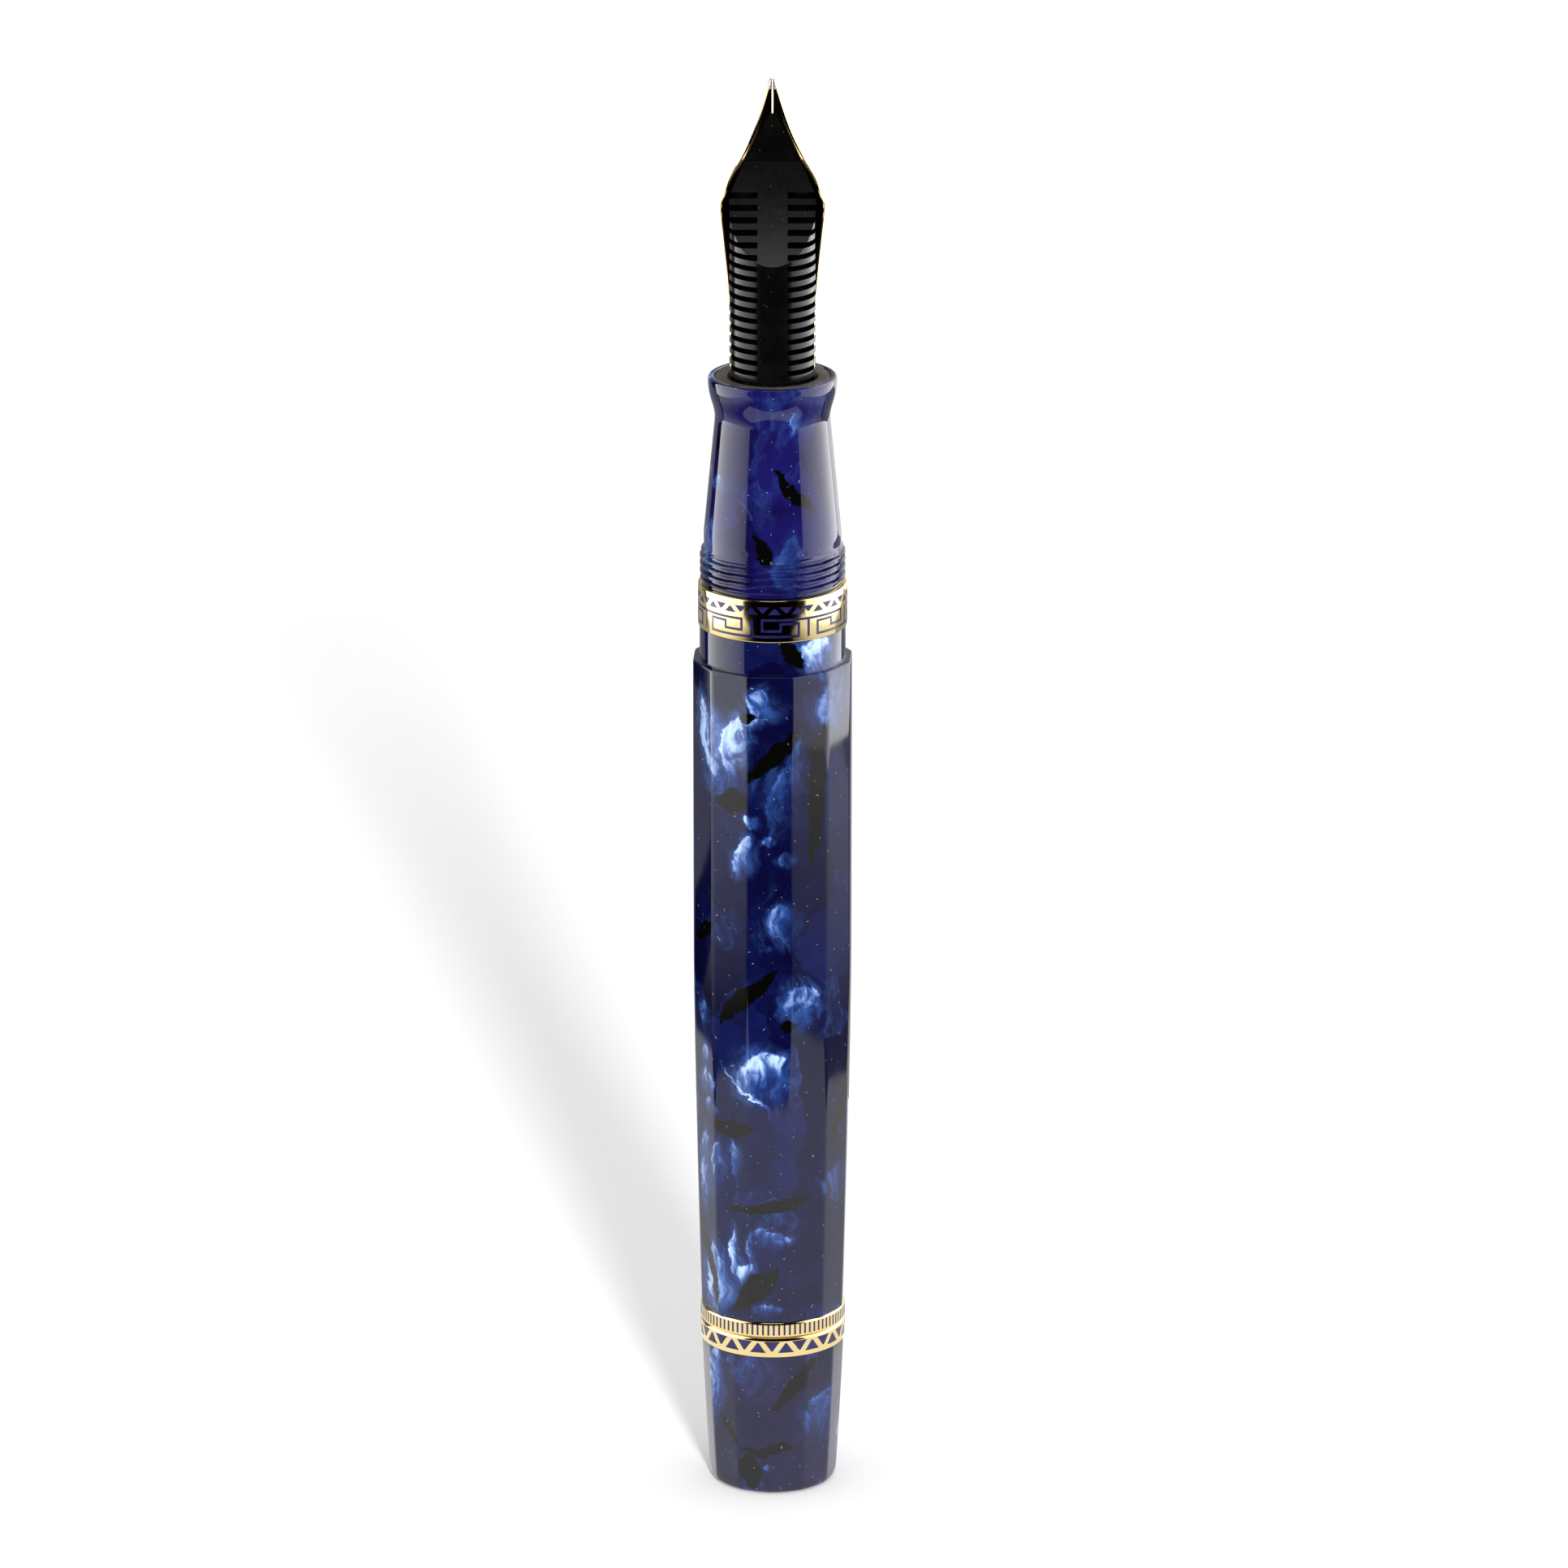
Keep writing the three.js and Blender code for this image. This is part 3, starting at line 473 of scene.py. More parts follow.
def add_mesh(name, shape, material, body, node=None, smooth=32.0):
    """A closed mesh, points in millimetres and faces, as a piece of the pen in place of a
    CAD node."""
    points, faces = shape
    mesh = bpy.data.meshes.new(name)
    mesh.from_pydata([Vector(point) * MM for point in points], [], faces)
    return add_piece(name, mesh, material, body, node, smooth)


def clean(mesh, nearest):
    """Joins points closer together than nearest and turns all faces outwards."""
    shape = bmesh.new()
    shape.from_mesh(mesh)
    bmesh.ops.remove_doubles(shape, verts=shape.verts, dist=nearest)
    bmesh.ops.recalc_face_normals(shape, faces=shape.faces)
    shape.to_mesh(mesh)
    shape.free()


def add_piece(name, mesh, material, body, node=None, smooth=32.0):
    clean(mesh, 0.0005 * MM)
    for polygon in mesh.polygons:
        polygon.use_smooth = True
    mesh.set_sharp_from_angle(angle=math.radians(smooth))
    mesh.materials.clear()
    mesh.materials.append(material)
    piece = add_object(name, mesh)
    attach(piece, body)
    if node:
        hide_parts(node)
    return piece


def soften(piece, name, width, sharpest):
    """Rounds the edges of a piece that turn by more than sharpest degrees."""
    bevel = piece.modifiers.new(name, "BEVEL")
    bevel.width = width
    bevel.segments = 3
    bevel.limit_method = "ANGLE"
    bevel.angle_limit = math.radians(sharpest)


def on_circle(angle, radius, height):
    turn = math.radians(angle)
    return (radius * math.sin(turn), -radius * math.cos(turn), height)


def facet_columns(turn):
    """Angles round a twelve-sided piece, closer together at its rounded corners."""
    offsets = (-15, -14.2, -13.4, -12.6, -11.6, -9, -5, 0, 5, 9, 11.6, 12.6, 13.4, 14.2)
    return [turn + FACET_ANGLE * (k + 0.5) + offset for k in range(FACETS)
            for offset in offsets]


def round_columns(count):
    return [360 * i / count for i in range(count)]


def facet_radius(angle, turn, corner):
    """Distance from the axis to a twelve-sided outline with rounded corners. corner is the
    distance to a sharp corner."""
    half = math.radians(FACET_ANGLE / 2)
    offset = abs((angle - turn) % FACET_ANGLE - FACET_ANGLE / 2)
    inner = corner * math.cos(half)
    flat_half = (inner - CORNER_RADIUS) * math.tan(half)
    flat_angle = math.degrees(math.atan2(flat_half, inner))
    if offset <= flat_angle:
        crown = FACET_CROWN * (1 - (offset / flat_angle) ** 2)
        return (inner + crown - FACET_CROWN) / math.cos(math.radians(offset))
    centre = (inner - CORNER_RADIUS) / math.cos(half)
    lean = half - math.radians(offset)
    arc = math.sqrt(CORNER_RADIUS ** 2 - (centre * math.sin(lean)) ** 2)
    return centre * math.cos(lean) + arc - FACET_CROWN


def filleted(corners, steps=4):
    """A profile of (radius, height, facet share, fillet) corners with its fillets cut."""
    done = []
    count = len(corners)
    for i, (radius, height, share, fillet) in enumerate(corners):
        here = Vector((radius, height))
        if not fillet:
            done.append((radius, height, share))
            continue
        before = (Vector(corners[i - 1][:2]) - here).normalized()
        after = (Vector(corners[(i + 1) % count][:2]) - here).normalized()
        half = before.angle(after) / 2
        reach = fillet / math.tan(half)
        centre = here + (before + after).normalized() * (fillet / math.sin(half))
        start = here + before * reach - centre
        sweep = start.angle_signed(here + after * reach - centre)
        for k in range(steps + 1):
            turn = -sweep * k / steps
            x = start.x * math.cos(turn) - start.y * math.sin(turn)
            y = start.x * math.sin(turn) + start.y * math.cos(turn)
            done.append((centre.x + x, centre.y + y, share))
    return done


def turned(profile, columns, turn=0.0, wave=None):
    """Points and faces of a profile swept round the axis. A profile that starts on the
    axis is closed there, and any other closes on itself. wave(angle, height) adds to the
    radius of the rows whose facet share is negative."""
    points = []
    rows = []
    for radius, height, share in profile:
        if radius <= 0:
            rows.append([len(points)])
            points.append((0, 0, height))
            continue
        row = []
        for angle in columns:
            local = radius
            if share > 0:
                local = share * facet_radius(angle, turn, radius) + (1 - share) * radius
            elif share < 0:
                local = radius + wave(angle, height)
            row.append(len(points))
            points.append(on_circle(angle, local, height))
        rows.append(row)
    faces = []
    pairs = list(zip(rows, rows[1:]))
    if len(rows[0]) > 1:
        pairs.append((rows[-1], rows[0]))
    count = len(columns)
    for low, high in pairs:
        for i in range(count):
            j = (i + 1) % count
            corners = [low[i % len(low)], low[j % len(low)], high[j % len(high)],
                       high[i % len(high)]]
            face = list(dict.fromkeys(corners))
            if len(face) > 2:
                faces.append(face)
    return points, faces


# ---- knob and barrel


def knob_radius(height):
    taper = 1 - (1 - height / KNOB_TOP) ** 1.2
    return KNOB_END_RADIUS + (KNOB_TOP_RADIUS - KNOB_END_RADIUS) * taper


def barrel_radius(height):
    share = max(0.0, (BARREL_STRAIGHT - height) / (BARREL_STRAIGHT - BARREL_BOTTOM))
    return BARREL_RADIUS - (BARREL_RADIUS - BARREL_END_RADIUS) * share ** 1.46


def make_knob():
    cavity, cavity_floor = 4.6, 4.55
    # The foot is nearly round, so the corners between the facets die away at its edge
    foot_radius, foot_facets, foot_rounding = 0.975 * KNOB_END_RADIUS, 0.3, 0.6
    corners = [(0, 0, 1, 0), (foot_radius, 0, foot_facets, foot_rounding)]
    corners += [(knob_radius(z), z, 1, 0) for z in [0.9 + 0.65 * i for i in range(20)]]
    corners += [(KNOB_TOP_RADIUS, KNOB_TOP, 1, 0.06), (cavity, KNOB_TOP, 0, 0.1),
                (cavity, cavity_floor, 0, 0.3), (0, cavity_floor, 0, 0)]
    shape = turned(filleted(corners), facet_columns(KNOB_TURN), KNOB_TURN)
    add_mesh("knob_shell_fine", shape, KNOB_CELLULOID_PAINTED_REFLECTION, "knob", "knob_shell")


def make_barrel():
    bore, chamber, tenon_bore = 5.7, 4.8, 5.75
    bore_top, chamber_top = 38.1, 75.2
    rise = [BARREL_BOTTOM + 0.5 + (BARREL_STRAIGHT - BARREL_BOTTOM - 0.5) * i / 36
            for i in range(37)]
    corners = [(BARREL_END_RADIUS, BARREL_BOTTOM, 1, 0.06)]
    corners += [(barrel_radius(z), z, 1, 0) for z in rise]
    corners += [(BARREL_RADIUS, 70, 1, 0), (BARREL_RADIUS, SHOULDER, 1, 0.16),
                (NECK_RADIUS, SHOULDER, 0, 0.05), (NECK_RADIUS, NECK_TOP, 0, 0.05),
                (tenon_bore, NECK_TOP, 0, 0.05), (tenon_bore, chamber_top, 0, 0),
                (chamber, chamber_top, 0, 0), (chamber, bore_top, 0, 0), (bore, bore_top, 0, 0),
                (bore, BARREL_BOTTOM, 0, 0.05)]
    shape = turned(filleted(corners), facet_columns(BARREL_TURN), BARREL_TURN)
    add_mesh("barrel_shell_fine", shape, BARREL_CELLULOID, "barrel",
             "barrel_shell")


def make_section():
    """Gripping section: tenon, cap thread with a true helix, grip, waist and flared lip."""
    foot = BAND_TOP + SEAM
    start = 89.75
    tenon_bottom, seat_bottom, seat_ledge = 76.5, 98, 108.45
    ink_bore, housing_bore, lip_bore = 3.2, 4.67, 5.47

    def ridge(angle, height):
        turn = (height - start) / THREAD_PITCH - angle / 360
        wave = 1 - abs(2 * (turn % 1) - 1)
        shape = min(1.0, max(0.0, (wave - 0.3) / 0.42))
        lead_in = min(1.0, max(0.0, (height - start) / 0.3))
        run_out = min(1.0, max(0.0, (CAP_THREAD_TOP + 0.1 - height - 0.5 * (angle / 360))
                               / 0.45))
        return THREAD_HEIGHT * shape * shape * (3 - 2 * shape) * lead_in * run_out

    def bezier(a, b, c, d, t):
        u = 1 - t
        return u ** 3 * a + 3 * u * u * t * b + 3 * u * t * t * c + t ** 3 * d

    profile = [(ink_bore, tenon_bottom, 0), (TENON_RADIUS - 0.2, tenon_bottom, 0),
               (TENON_RADIUS, tenon_bottom + 0.2, 0),
               (TENON_RADIUS, foot, 0), (THREAD_ROOT - 0.05, foot, 0)]
    rows = 72
    for i in range(rows + 1):
        height = foot + 0.03 + (CAP_THREAD_TOP + 0.25 - foot) * i / rows
        profile.append((THREAD_ROOT, height, -1))
    grip_radius, grip_top_radius, grip_top = 6.45, 5.42, 105.2
    lip_radius, lip_start = 6.04, 109.05
    profile += [(6.46, 94.0, 0), (6.455, 94.4, 0)]
    for i in range(1, 12):
        height = GRIP_BOTTOM + (grip_top - GRIP_BOTTOM) * i / 12
        share = (height - GRIP_BOTTOM) / (grip_top - GRIP_BOTTOM)
        profile.append((grip_radius + (grip_top_radius - grip_radius) * share, height, 0))
    for i in range(19):
        t = i / 18
        profile.append((bezier(grip_top_radius, 5.3, lip_radius, lip_radius, t),
                        bezier(grip_top, 106.6, 107.3, lip_start, t), 0))
    for i in range(1, 7):
        t = i / 6
        radius = lip_radius - 0.3 * t * t
        height = lip_start + (LIP_TOP - lip_start) * t * (2 - t)
        profile.append((radius, height, 0))
    profile += [(lip_bore + 0.05, LIP_TOP, 0), (lip_bore, LIP_TOP - 0.05, 0),
                (lip_bore, seat_ledge, 0), (housing_bore, seat_ledge, 0),
                (housing_bore, seat_bottom, 0), (ink_bore, seat_bottom, 0)]
    shape = turned(profile, round_columns(180), wave=ridge)
    add_mesh("section_grip_fine", shape, SECTION_CELLULOID, "barrel",
             "section_grip", smooth=50)


# ---- trim rings and inlays

PROUD = 0.012
SUNK = 0.05
FINEST_TURN = 1.5


def make_ring(name, node, body, profile):
    shape = turned(filleted(profile, 5), round_columns(180))
    add_mesh(name, shape, GOLD, body, node)


def make_trim_rings():
    low, high, bore, seat, ledge = KNOB_TOP + SEAM, KNOB_RING_TOP, 4.6, 5.6, 15.02
    make_ring("knob_trim_ring_fine", "knob_trim_ring", "knob", [
        (bore, low, 0, 0), (RING_RADIUS, low, 0, 0.08), (RING_RADIUS, high, 0, 0.36),
        (seat, high, 0, 0), (seat, ledge, 0, 0), (bore, ledge, 0, 0)])
    low, high, bore = REAR_RING_BOTTOM, BARREL_BOTTOM - SEAM, 5.55
    make_ring("rear_trim_ring_fine", "rear_trim_ring", "barrel", [
        (bore, low, 0, 0), (RING_RADIUS, low, 0, 0.12), (RING_RADIUS, high, 0, 0.24),
        (bore, high, 0, 0)])
    low, high, bore = NECK_TOP + SEAM, BAND_TOP, 5.45
    make_ring("front_trim_band_fine", "front_trim_band", "barrel", [
        (bore, low, 0, 0), (BAND_RADIUS, low, 0, 0.1), (BAND_RADIUS, high, 0, 0.16),
        (bore, high, 0, 0)])


def between(low, high, step):
    """Values from low to high, no more than step apart."""
    count = max(1, math.ceil((high - low) / step - 1e-9))
    return [low + (high - low) * i / count for i in range(count)] + [high]


def inlay_from_rectangles(name, rectangles, ring_radius, body):
    """Enamel laid into a ring: the union of (left, right, bottom, top) rectangles, in
    degrees and millimetres, as one closed shell."""
    edges = sorted({round(value, 4) for box in rectangles for value in box[:2]})
    across = []
    for left, right in zip(edges, edges[1:]):
        across += between(left, right, FINEST_TURN)[:-1]
    across.append(edges[-1])
    up = sorted({round(value, 4) for box in rectangles for value in box[2:]})

    filled = set()
    for i, (left, right) in enumerate(zip(across, across[1:])):
        for k, (low, high) in enumerate(zip(up, up[1:])):
            x, z = (left + right) / 2, (low + high) / 2
            if any(box[0] < x < box[1] and box[2] < z < box[3] for box in rectangles):
                filled.add((i, k))
    points, faces, index = [], [], {}

    def point(i, k, radius):
        key = (i, k, radius)
        if key not in index:
            index[key] = len(points)
            points.append(on_circle(across[i], radius, up[k]))
        return index[key]

    top, bottom = ring_radius + PROUD, ring_radius - SUNK
    for i, k in sorted(filled):
        ring = [(i, k), (i + 1, k), (i + 1, k + 1), (i, k + 1)]
        faces.append([point(*corner, top) for corner in ring])
        faces.append([point(*corner, bottom) for corner in reversed(ring)])
        sides = [((i, k - 1), 0, 1), ((i + 1, k), 1, 2), ((i, k + 1), 2, 3), ((i - 1, k), 3, 0)]
        for neighbour, a, b in sides:
            if neighbour not in filled:
                faces.append([point(*ring[a], bottom), point(*ring[b], bottom),
                              point(*ring[b], top), point(*ring[a], top)])
    add_mesh(name, (points, faces), ENAMEL, body, smooth=30)


def inlay_triangles(name, pairs, first, half, standing, hanging, ring_radius, body):
    """Enamel triangles that stand and hang in turn. first is the angle of the first one's
    middle and half is half a base, in degrees, and the others are (base, tip) heights."""
    points, faces = [], []
    least_share = 0.06
    columns = between(-half, half, FINEST_TURN)
    for k in range(2 * pairs):
        middle = first + 180 / pairs * k
        base, tip = hanging if k % 2 else standing
        strip = []
        for offset in columns:
            reach = base + (tip - base) * max(least_share, 1 - abs(offset) / half)
            ids = []
            for radius in (ring_radius - SUNK, ring_radius + PROUD):
                for height in sorted((base, reach)):
                    ids.append(len(points))
                    points.append(on_circle(middle + offset, radius, height))
            strip.append(ids)
        for (a, b, c, d), (e, f, g, h) in zip(strip, strip[1:]):
            faces += [[c, g, h, d], [a, b, f, e], [a, e, g, c], [b, d, h, f]]
        a, b, c, d = strip[0]
        faces.append([a, c, d, b])
        a, b, c, d = strip[-1]
        faces.append([a, b, d, c])
    add_mesh(name, (points, faces), ENAMEL, body, smooth=30)


def make_ring_patterns():
    """Triangles on the knob's ring, upright ticks on the ring above it, and small triangles
    on the band above the meander."""
    inlay_triangles("knob_ring_enamel", 16, -11.9, 6.2, (KNOB_TOP + 0.5, KNOB_TOP + 1.58),
                    (KNOB_TOP + 1.62, KNOB_TOP + 0.54), RING_RADIUS, "knob")
    ticks = 84
    pitch = 360 / ticks
    bars = [(pitch * k, pitch * (k + 0.37), REAR_RING_BOTTOM + 0.22, BARREL_BOTTOM - 0.26)
            for k in range(ticks)]
    inlay_from_rectangles("rear_ring_enamel", bars, RING_RADIUS, "barrel")
    inlay_triangles("front_band_triangles", 20, 1.6, 4.75, (BAND_TOP - 1.33, BAND_TOP - 0.66),
                    (BAND_TOP - 0.6, BAND_TOP - 1.27), BAND_RADIUS, "barrel")


def make_meander():
    """Eight units, every second one upside down. Each is a line that passes under or over a
    box, turns up its side and steps back through its middle. A post parts it from the next."""
    pitch = 45
    line, line_turn = 0.235, 1.95
    box_half = 14.25
    heights = [NECK_TOP + value for value in (0.62, 1.17, 1.85, 2.24)]
    first = -16.25
    boxes = []

    def bar(angle_a, angle_b, height_a, height_b):
        left, right = sorted((angle_a, angle_b))
        bottom, top = sorted((height_a, height_b))
        boxes.append((left - line_turn / 2, right + line_turn / 2,
                      bottom - line / 2, top + line / 2))

    for k in range(8):
        middle = first + pitch * (k + 0.5)
        low, lower, upper, high = heights[::-1] if k % 2 else heights
        left, right = middle - box_half, middle + box_half
        bar(left, right, low, low)
        bar(right, right, low, upper)
        bar(middle, right, upper, upper)
        bar(middle, middle, upper, lower)
        bar(left, middle, lower, lower)
        bar(left, left, lower, high)
        bar(left, left + pitch, high, high)
        post = middle + pitch / 2
        bar(post, post, high, low)
    start = first - 2
    end = start + 360
    wrapped = []
    for left, right, bottom, top in boxes:
        if left >= end:
            left, right = left - 360, right - 360
        if right > end:
            wrapped.append((left, end, bottom, top))
            wrapped.append((start, right - 360, bottom, top))
        else:
            wrapped.append((left, right, bottom, top))
    inlay_from_rectangles("front_band_meander", wrapped, BAND_RADIUS, "barrel")


# ---- nib


def nib_section(z):
    """Wrap in radians, radius, crown and thickness of the nib's section at height z."""
    last = len(NIB_STATIONS) - 1
    i = next((k - 1 for k, row in enumerate(NIB_STATIONS) if row[0] > z), last - 1)
    i = min(max(i, 0), last - 1)
    low, high = NIB_STATIONS[i], NIB_STATIONS[i + 1]
    before = NIB_STATIONS[max(0, i - 1)]
    after = NIB_STATIONS[min(last, i + 2)]
    span = high[0] - low[0]
    t = min(1.0, max(0.0, (z - low[0]) / span))
    straight = z < NIB_STATIONS[1][0]

    def value(n):
        into = 0 if straight else (high[n] - before[n]) / (high[0] - before[0]) * span
        out = 0 if straight else (after[n] - low[n]) / (after[0] - low[0]) * span
        return ((2 * t ** 3 - 3 * t ** 2 + 1) * low[n] + (t ** 3 - 2 * t ** 2 + t) * into
                + (3 * t ** 2 - 2 * t ** 3) * high[n] + (t ** 3 - t ** 2) * out)

    wrap = math.radians(value(2))
    radius = value(1) / math.sin(min(wrap, math.pi / 2))
    return wrap, radius, value(3), value(4)


def nib_point(section, angle, depth, z):
    _, radius, crown, _ = section
    reach = radius - depth
    return (reach * math.sin(angle), crown - radius + reach * math.cos(angle), z)


def nib_heights():
    """Rows of the nib's mesh, closer together round its hole and where it curves."""
    heights = [NIB_BOTTOM + 0.9 * i for i in range(24)]
    hole = BREATHER_RADIUS
    heights += [BREATHER_HEIGHT - hole * math.cos(math.pi * i / 16) for i in range(16)]
    heights += [122.0 + 0.3 * i for i in range(12)]
    heights += [125.5 + 0.14 * i for i in range(75)]
    heights = sorted(height for height in heights if height < NIB_END - 0.05)
    kept = [heights[0]]
    for height in heights[1:]:
        if height - kept[-1] > 0.03:
            kept.append(height)
    return kept + [NIB_END]


def slit_edge(z):
    """Half the width of the opening along the nib's middle at height z."""
    hole = math.sqrt(max(0.0, BREATHER_RADIUS ** 2 - (z - BREATHER_HEIGHT) ** 2))
    return max(SLIT_WIDTH / 2, hole) if z > BREATHER_HEIGHT + 0.2 else hole


def sheet_faces(loops, is_open=None):
    """Faces of a bent sheet between outlines that run out along its top and back along its
    underside. Its inner edge has faces only where is_open says that an outline is open."""
    faces = []
    count = len(loops[0])
    for row, (low, high) in enumerate(zip(loops, loops[1:])):
        for i in range(count):
            j = (i + 1) % count
            if j == 0 and is_open and not (is_open[row] or is_open[row + 1]):
                continue
            faces.append([low[i], low[j], high[j], high[i]])
    for ids in (loops[0], loops[-1]):
        for i in range(count // 2 - 1):
            faces.append([ids[i], ids[i + 1], ids[count - 2 - i], ids[count - 1 - i]])
    return faces


def make_nib():
    """Two halves that meet along the middle, with a plain border line cut into the top."""
    across = (0, 0.1, 0.2, 0.3, 0.4, 0.5, 0.6, 0.69, 0.77, 0.83, 0.855, 0.87, 0.885, 0.91,
              0.95, 1.0)
    line, line_half_width, line_depth = 0.87, 0.012, 0.035
    points, faces = [], []
    for side in (-1, 1):
        loops, is_open = [], []
        for z in nib_heights():
            section = nib_section(z)
            wrap, radius, _, thick = section
            opening = slit_edge(z)
            is_open.append(opening > 0.001)
            start = math.asin(min(1.0, opening / radius))
            start_in = math.asin(min(1.0, opening / (radius - thick)))
            rim = thick * 0.5 / radius
            engraved = line_depth * min(1.0, max(0.0, z - 112)) * (z < 131.5)
            loop = []
            for share in across:
                angle = start + (wrap - rim - start) * share
                depth = engraved * math.exp(-((share - line) / line_half_width) ** 2)
                loop.append(nib_point(section, angle, depth, z))
            for turn, depth in ((0.3, 0.1), (0.0, 0.32), (0.0, 0.68), (0.3, 0.9)):
                loop.append(nib_point(section, wrap - rim * turn * 1.6, thick * depth, z))
            for share in reversed(across):
                angle = start_in + (wrap - rim - start_in) * share
                loop.append(nib_point(section, angle, thick, z))
            ids = list(range(len(points), len(points) + len(loop)))
            points += [(side * x, y, height) for x, y, height in loop]
            loops.append(ids)
        faces += sheet_faces(loops, is_open)
    nib = add_mesh("nib_fine", (points, faces), NIB_GOLD, "barrel", "nib", 38)
    soften(nib, "rim", 0.1 * MM, 45)


def make_pellets():
    """The two halves of the hard tip, rounded for writing and flat along the slit."""
    rings, around = 14, 24
    wide, deep, tall = 0.34, 0.4, 0.5
    cut_off = -0.94
    for side, name in ((-1, "left"), (1, "right")):
        near = SLIT_WIDTH / 2
        rows = []
        points = []
        for i in range(rings + 1):
            lift = cut_off + (1 - cut_off) * i / rings
            size = math.sqrt(max(0.0, 1 - lift * lift))
            row = []
            for k in range(around + 1):
                angle = math.pi * k / around
                row.append(len(points))
                points.append((side * (near + wide * size * math.sin(angle)),
                               3.4 - deep * size * math.cos(angle),
                               PEN_LENGTH - 0.01 - tall + tall * lift))
            rows.append(row)
        faces = []
        for a, b in zip(rows, rows[1:]):
            for k in range(around):
                faces.append([a[k], a[k + 1], b[k + 1], b[k]])
            faces.append([a[0], b[0], b[-1], a[-1]])
        faces.append(rows[0])
        add_mesh("tip_" + name, (points, faces), IRIDIUM, "barrel",
                 "tip_pellet_" + name, smooth=40)


# ---- nib housing and feed


def make_housing():
    """Sleeve in the section, with a collar that shows inside the lip."""
    bottom, collar, ledge, top = 98.1, 108.48, 108.2, LIP_TOP - 0.05
    bore, mouth, sleeve, rim = 4.0, 4.27, 4.6, 5.42
    profile = [(bore, bottom, 0, 0), (sleeve, bottom, 0, 0.1), (sleeve, collar, 0, 0),
               (rim, collar, 0, 0), (rim, top, 0, 0.12), (mouth, top, 0, 0.12),
               (mouth, ledge, 0, 0), (bore, ledge, 0, 0)]
    shape = turned(filleted(profile), round_columns(120))
    add_mesh("nib_housing_fine", shape, COLLAR, "barrel", "nib_housing")


def loose(shape):
    """A bare object, in millimetres, for cutting with."""
    points, faces = shape
    mesh = bpy.data.meshes.new("cutter")
    mesh.from_pydata(points, [], faces)
    clean(mesh, 1e-5)
    return add_object("cutter", mesh)


def prism(outline, axis, low, high):
    """Extrudes a 2-D outline along X, Y or Z."""
    def place(point, level):
        a, b = point
        return {"X": (level, a, b), "Y": (a, level, b), "Z": (a, b, level)}[axis]

    count = len(outline)
    points = [place(point, level) for level in (low, high) for point in outline]
    faces = [list(range(count)), list(range(count, 2 * count))]
    for i in range(count):
        j = (i + 1) % count
        faces.append([i, j, count + j, count + i])
    return points, faces


def joined(shapes):
    """Several (points, faces) shapes as one."""
    points, faces = [], []
    for more_points, more_faces in shapes:
        shift = len(points)
        points += more_points
        faces += [[i + shift for i in face] for face in more_faces]
    return points, faces


def modified(piece):
    graph = bpy.context.evaluated_depsgraph_get()
    return bpy.data.meshes.new_from_object(piece.evaluated_get(graph))


def combine(target, tool, operation):
    """Cuts target with tool, or keeps what they share, and removes tool."""
    modifier = target.modifiers.new("cut", "BOOLEAN")
    modifier.operation = operation
    modifier.solver = "EXACT"
    modifier.object = tool
    mesh = modified(target)
    target.modifiers.clear()
    target.data = mesh
    bpy.data.objects.remove(tool)


def quadratic(a, b, c, steps):
    """Points of a curve from a towards c that b pulls on. c itself isn't among them."""
    return [tuple((1 - t) ** 2 * p + 2 * t * (1 - t) * q + t * t * r
                  for p, q, r in zip(a, b, c)) for t in [i / steps for i in range(steps)]]


def under_nib():
    """The room that the nib takes, with a little clearance."""
    clearance = 0.08
    spread = 1.03
    bottom, top = 109.2, 135.9
    heights = [bottom + (top - bottom) * i / 60 for i in range(61)]
    shares = [-1 + 2 * i / 36 for i in range(37)]
    points, rows = [], []
    for z in heights:
        section = nib_section(z)
        wrap, _, _, thick = section
        row = []
        for depth in (-2.0, thick + clearance):
            line = []
            for share in shares:
                line.append(len(points))
                points.append(nib_point(section, share * wrap * spread, depth, z))
            row.append(line)
        rows.append(row[0] + row[1][::-1])
    return points, sheet_faces(rows)


def feed_outline():
    """Outline of the feed from the front: straight sides that curve in to its tip."""
    wide = FIN_RADIUS + 0.1
    shoulder, tip_start = 126.4, FEED_TIP - 0.4
    right = [(wide, FEED_TAIL_BOTTOM - 1)]
    right += quadratic((wide, shoulder), (1.9, 130.6), (0.45, tip_start), 20)
    right += quadratic((0.45, tip_start), (0.36, FEED_TIP), (0, FEED_TIP), 6)
    left = [(-x, z) for x, z in reversed(right)]
    return right + [(0, FEED_TIP)] + left


def feed_slope():
    """What is cut off the feed's front, as (y, z): a slope, slightly hollow, then a step and
    a steeper face up to the tip."""
    foot, top, hollow = (-6.0, 118.47), (2.4, 129.35), 0.2
    steps = 24
    cut = []
    for i in range(steps + 1):
        t = i / steps
        sag = hollow * 4 * t * (1 - t)
        cut.append((foot[0] + (top[0] - foot[0]) * t + 0.82 * sag,
                    foot[1] + (top[1] - foot[1]) * t - 0.57 * sag))
    return cut + [(2.72, 129.35), (3.2, 134.2), (-6, 136)]


def feed_slots():
    """The gaps between the fins, either side of a solid spine."""
    past = 7
    slots = []
    for side in (-1, 1):
        near, far = side * SPINE_HALF_WIDTH, side * past
        outline = [(near, -past), (far, -past), (far, past), (near, past)]
        for k in range(FIN_COUNT):
            high = TOP_SLOT - k * FIN_PITCH
            slots.append(prism(outline, "Z", high - SLOT_HEIGHT, high))
    return joined(slots)


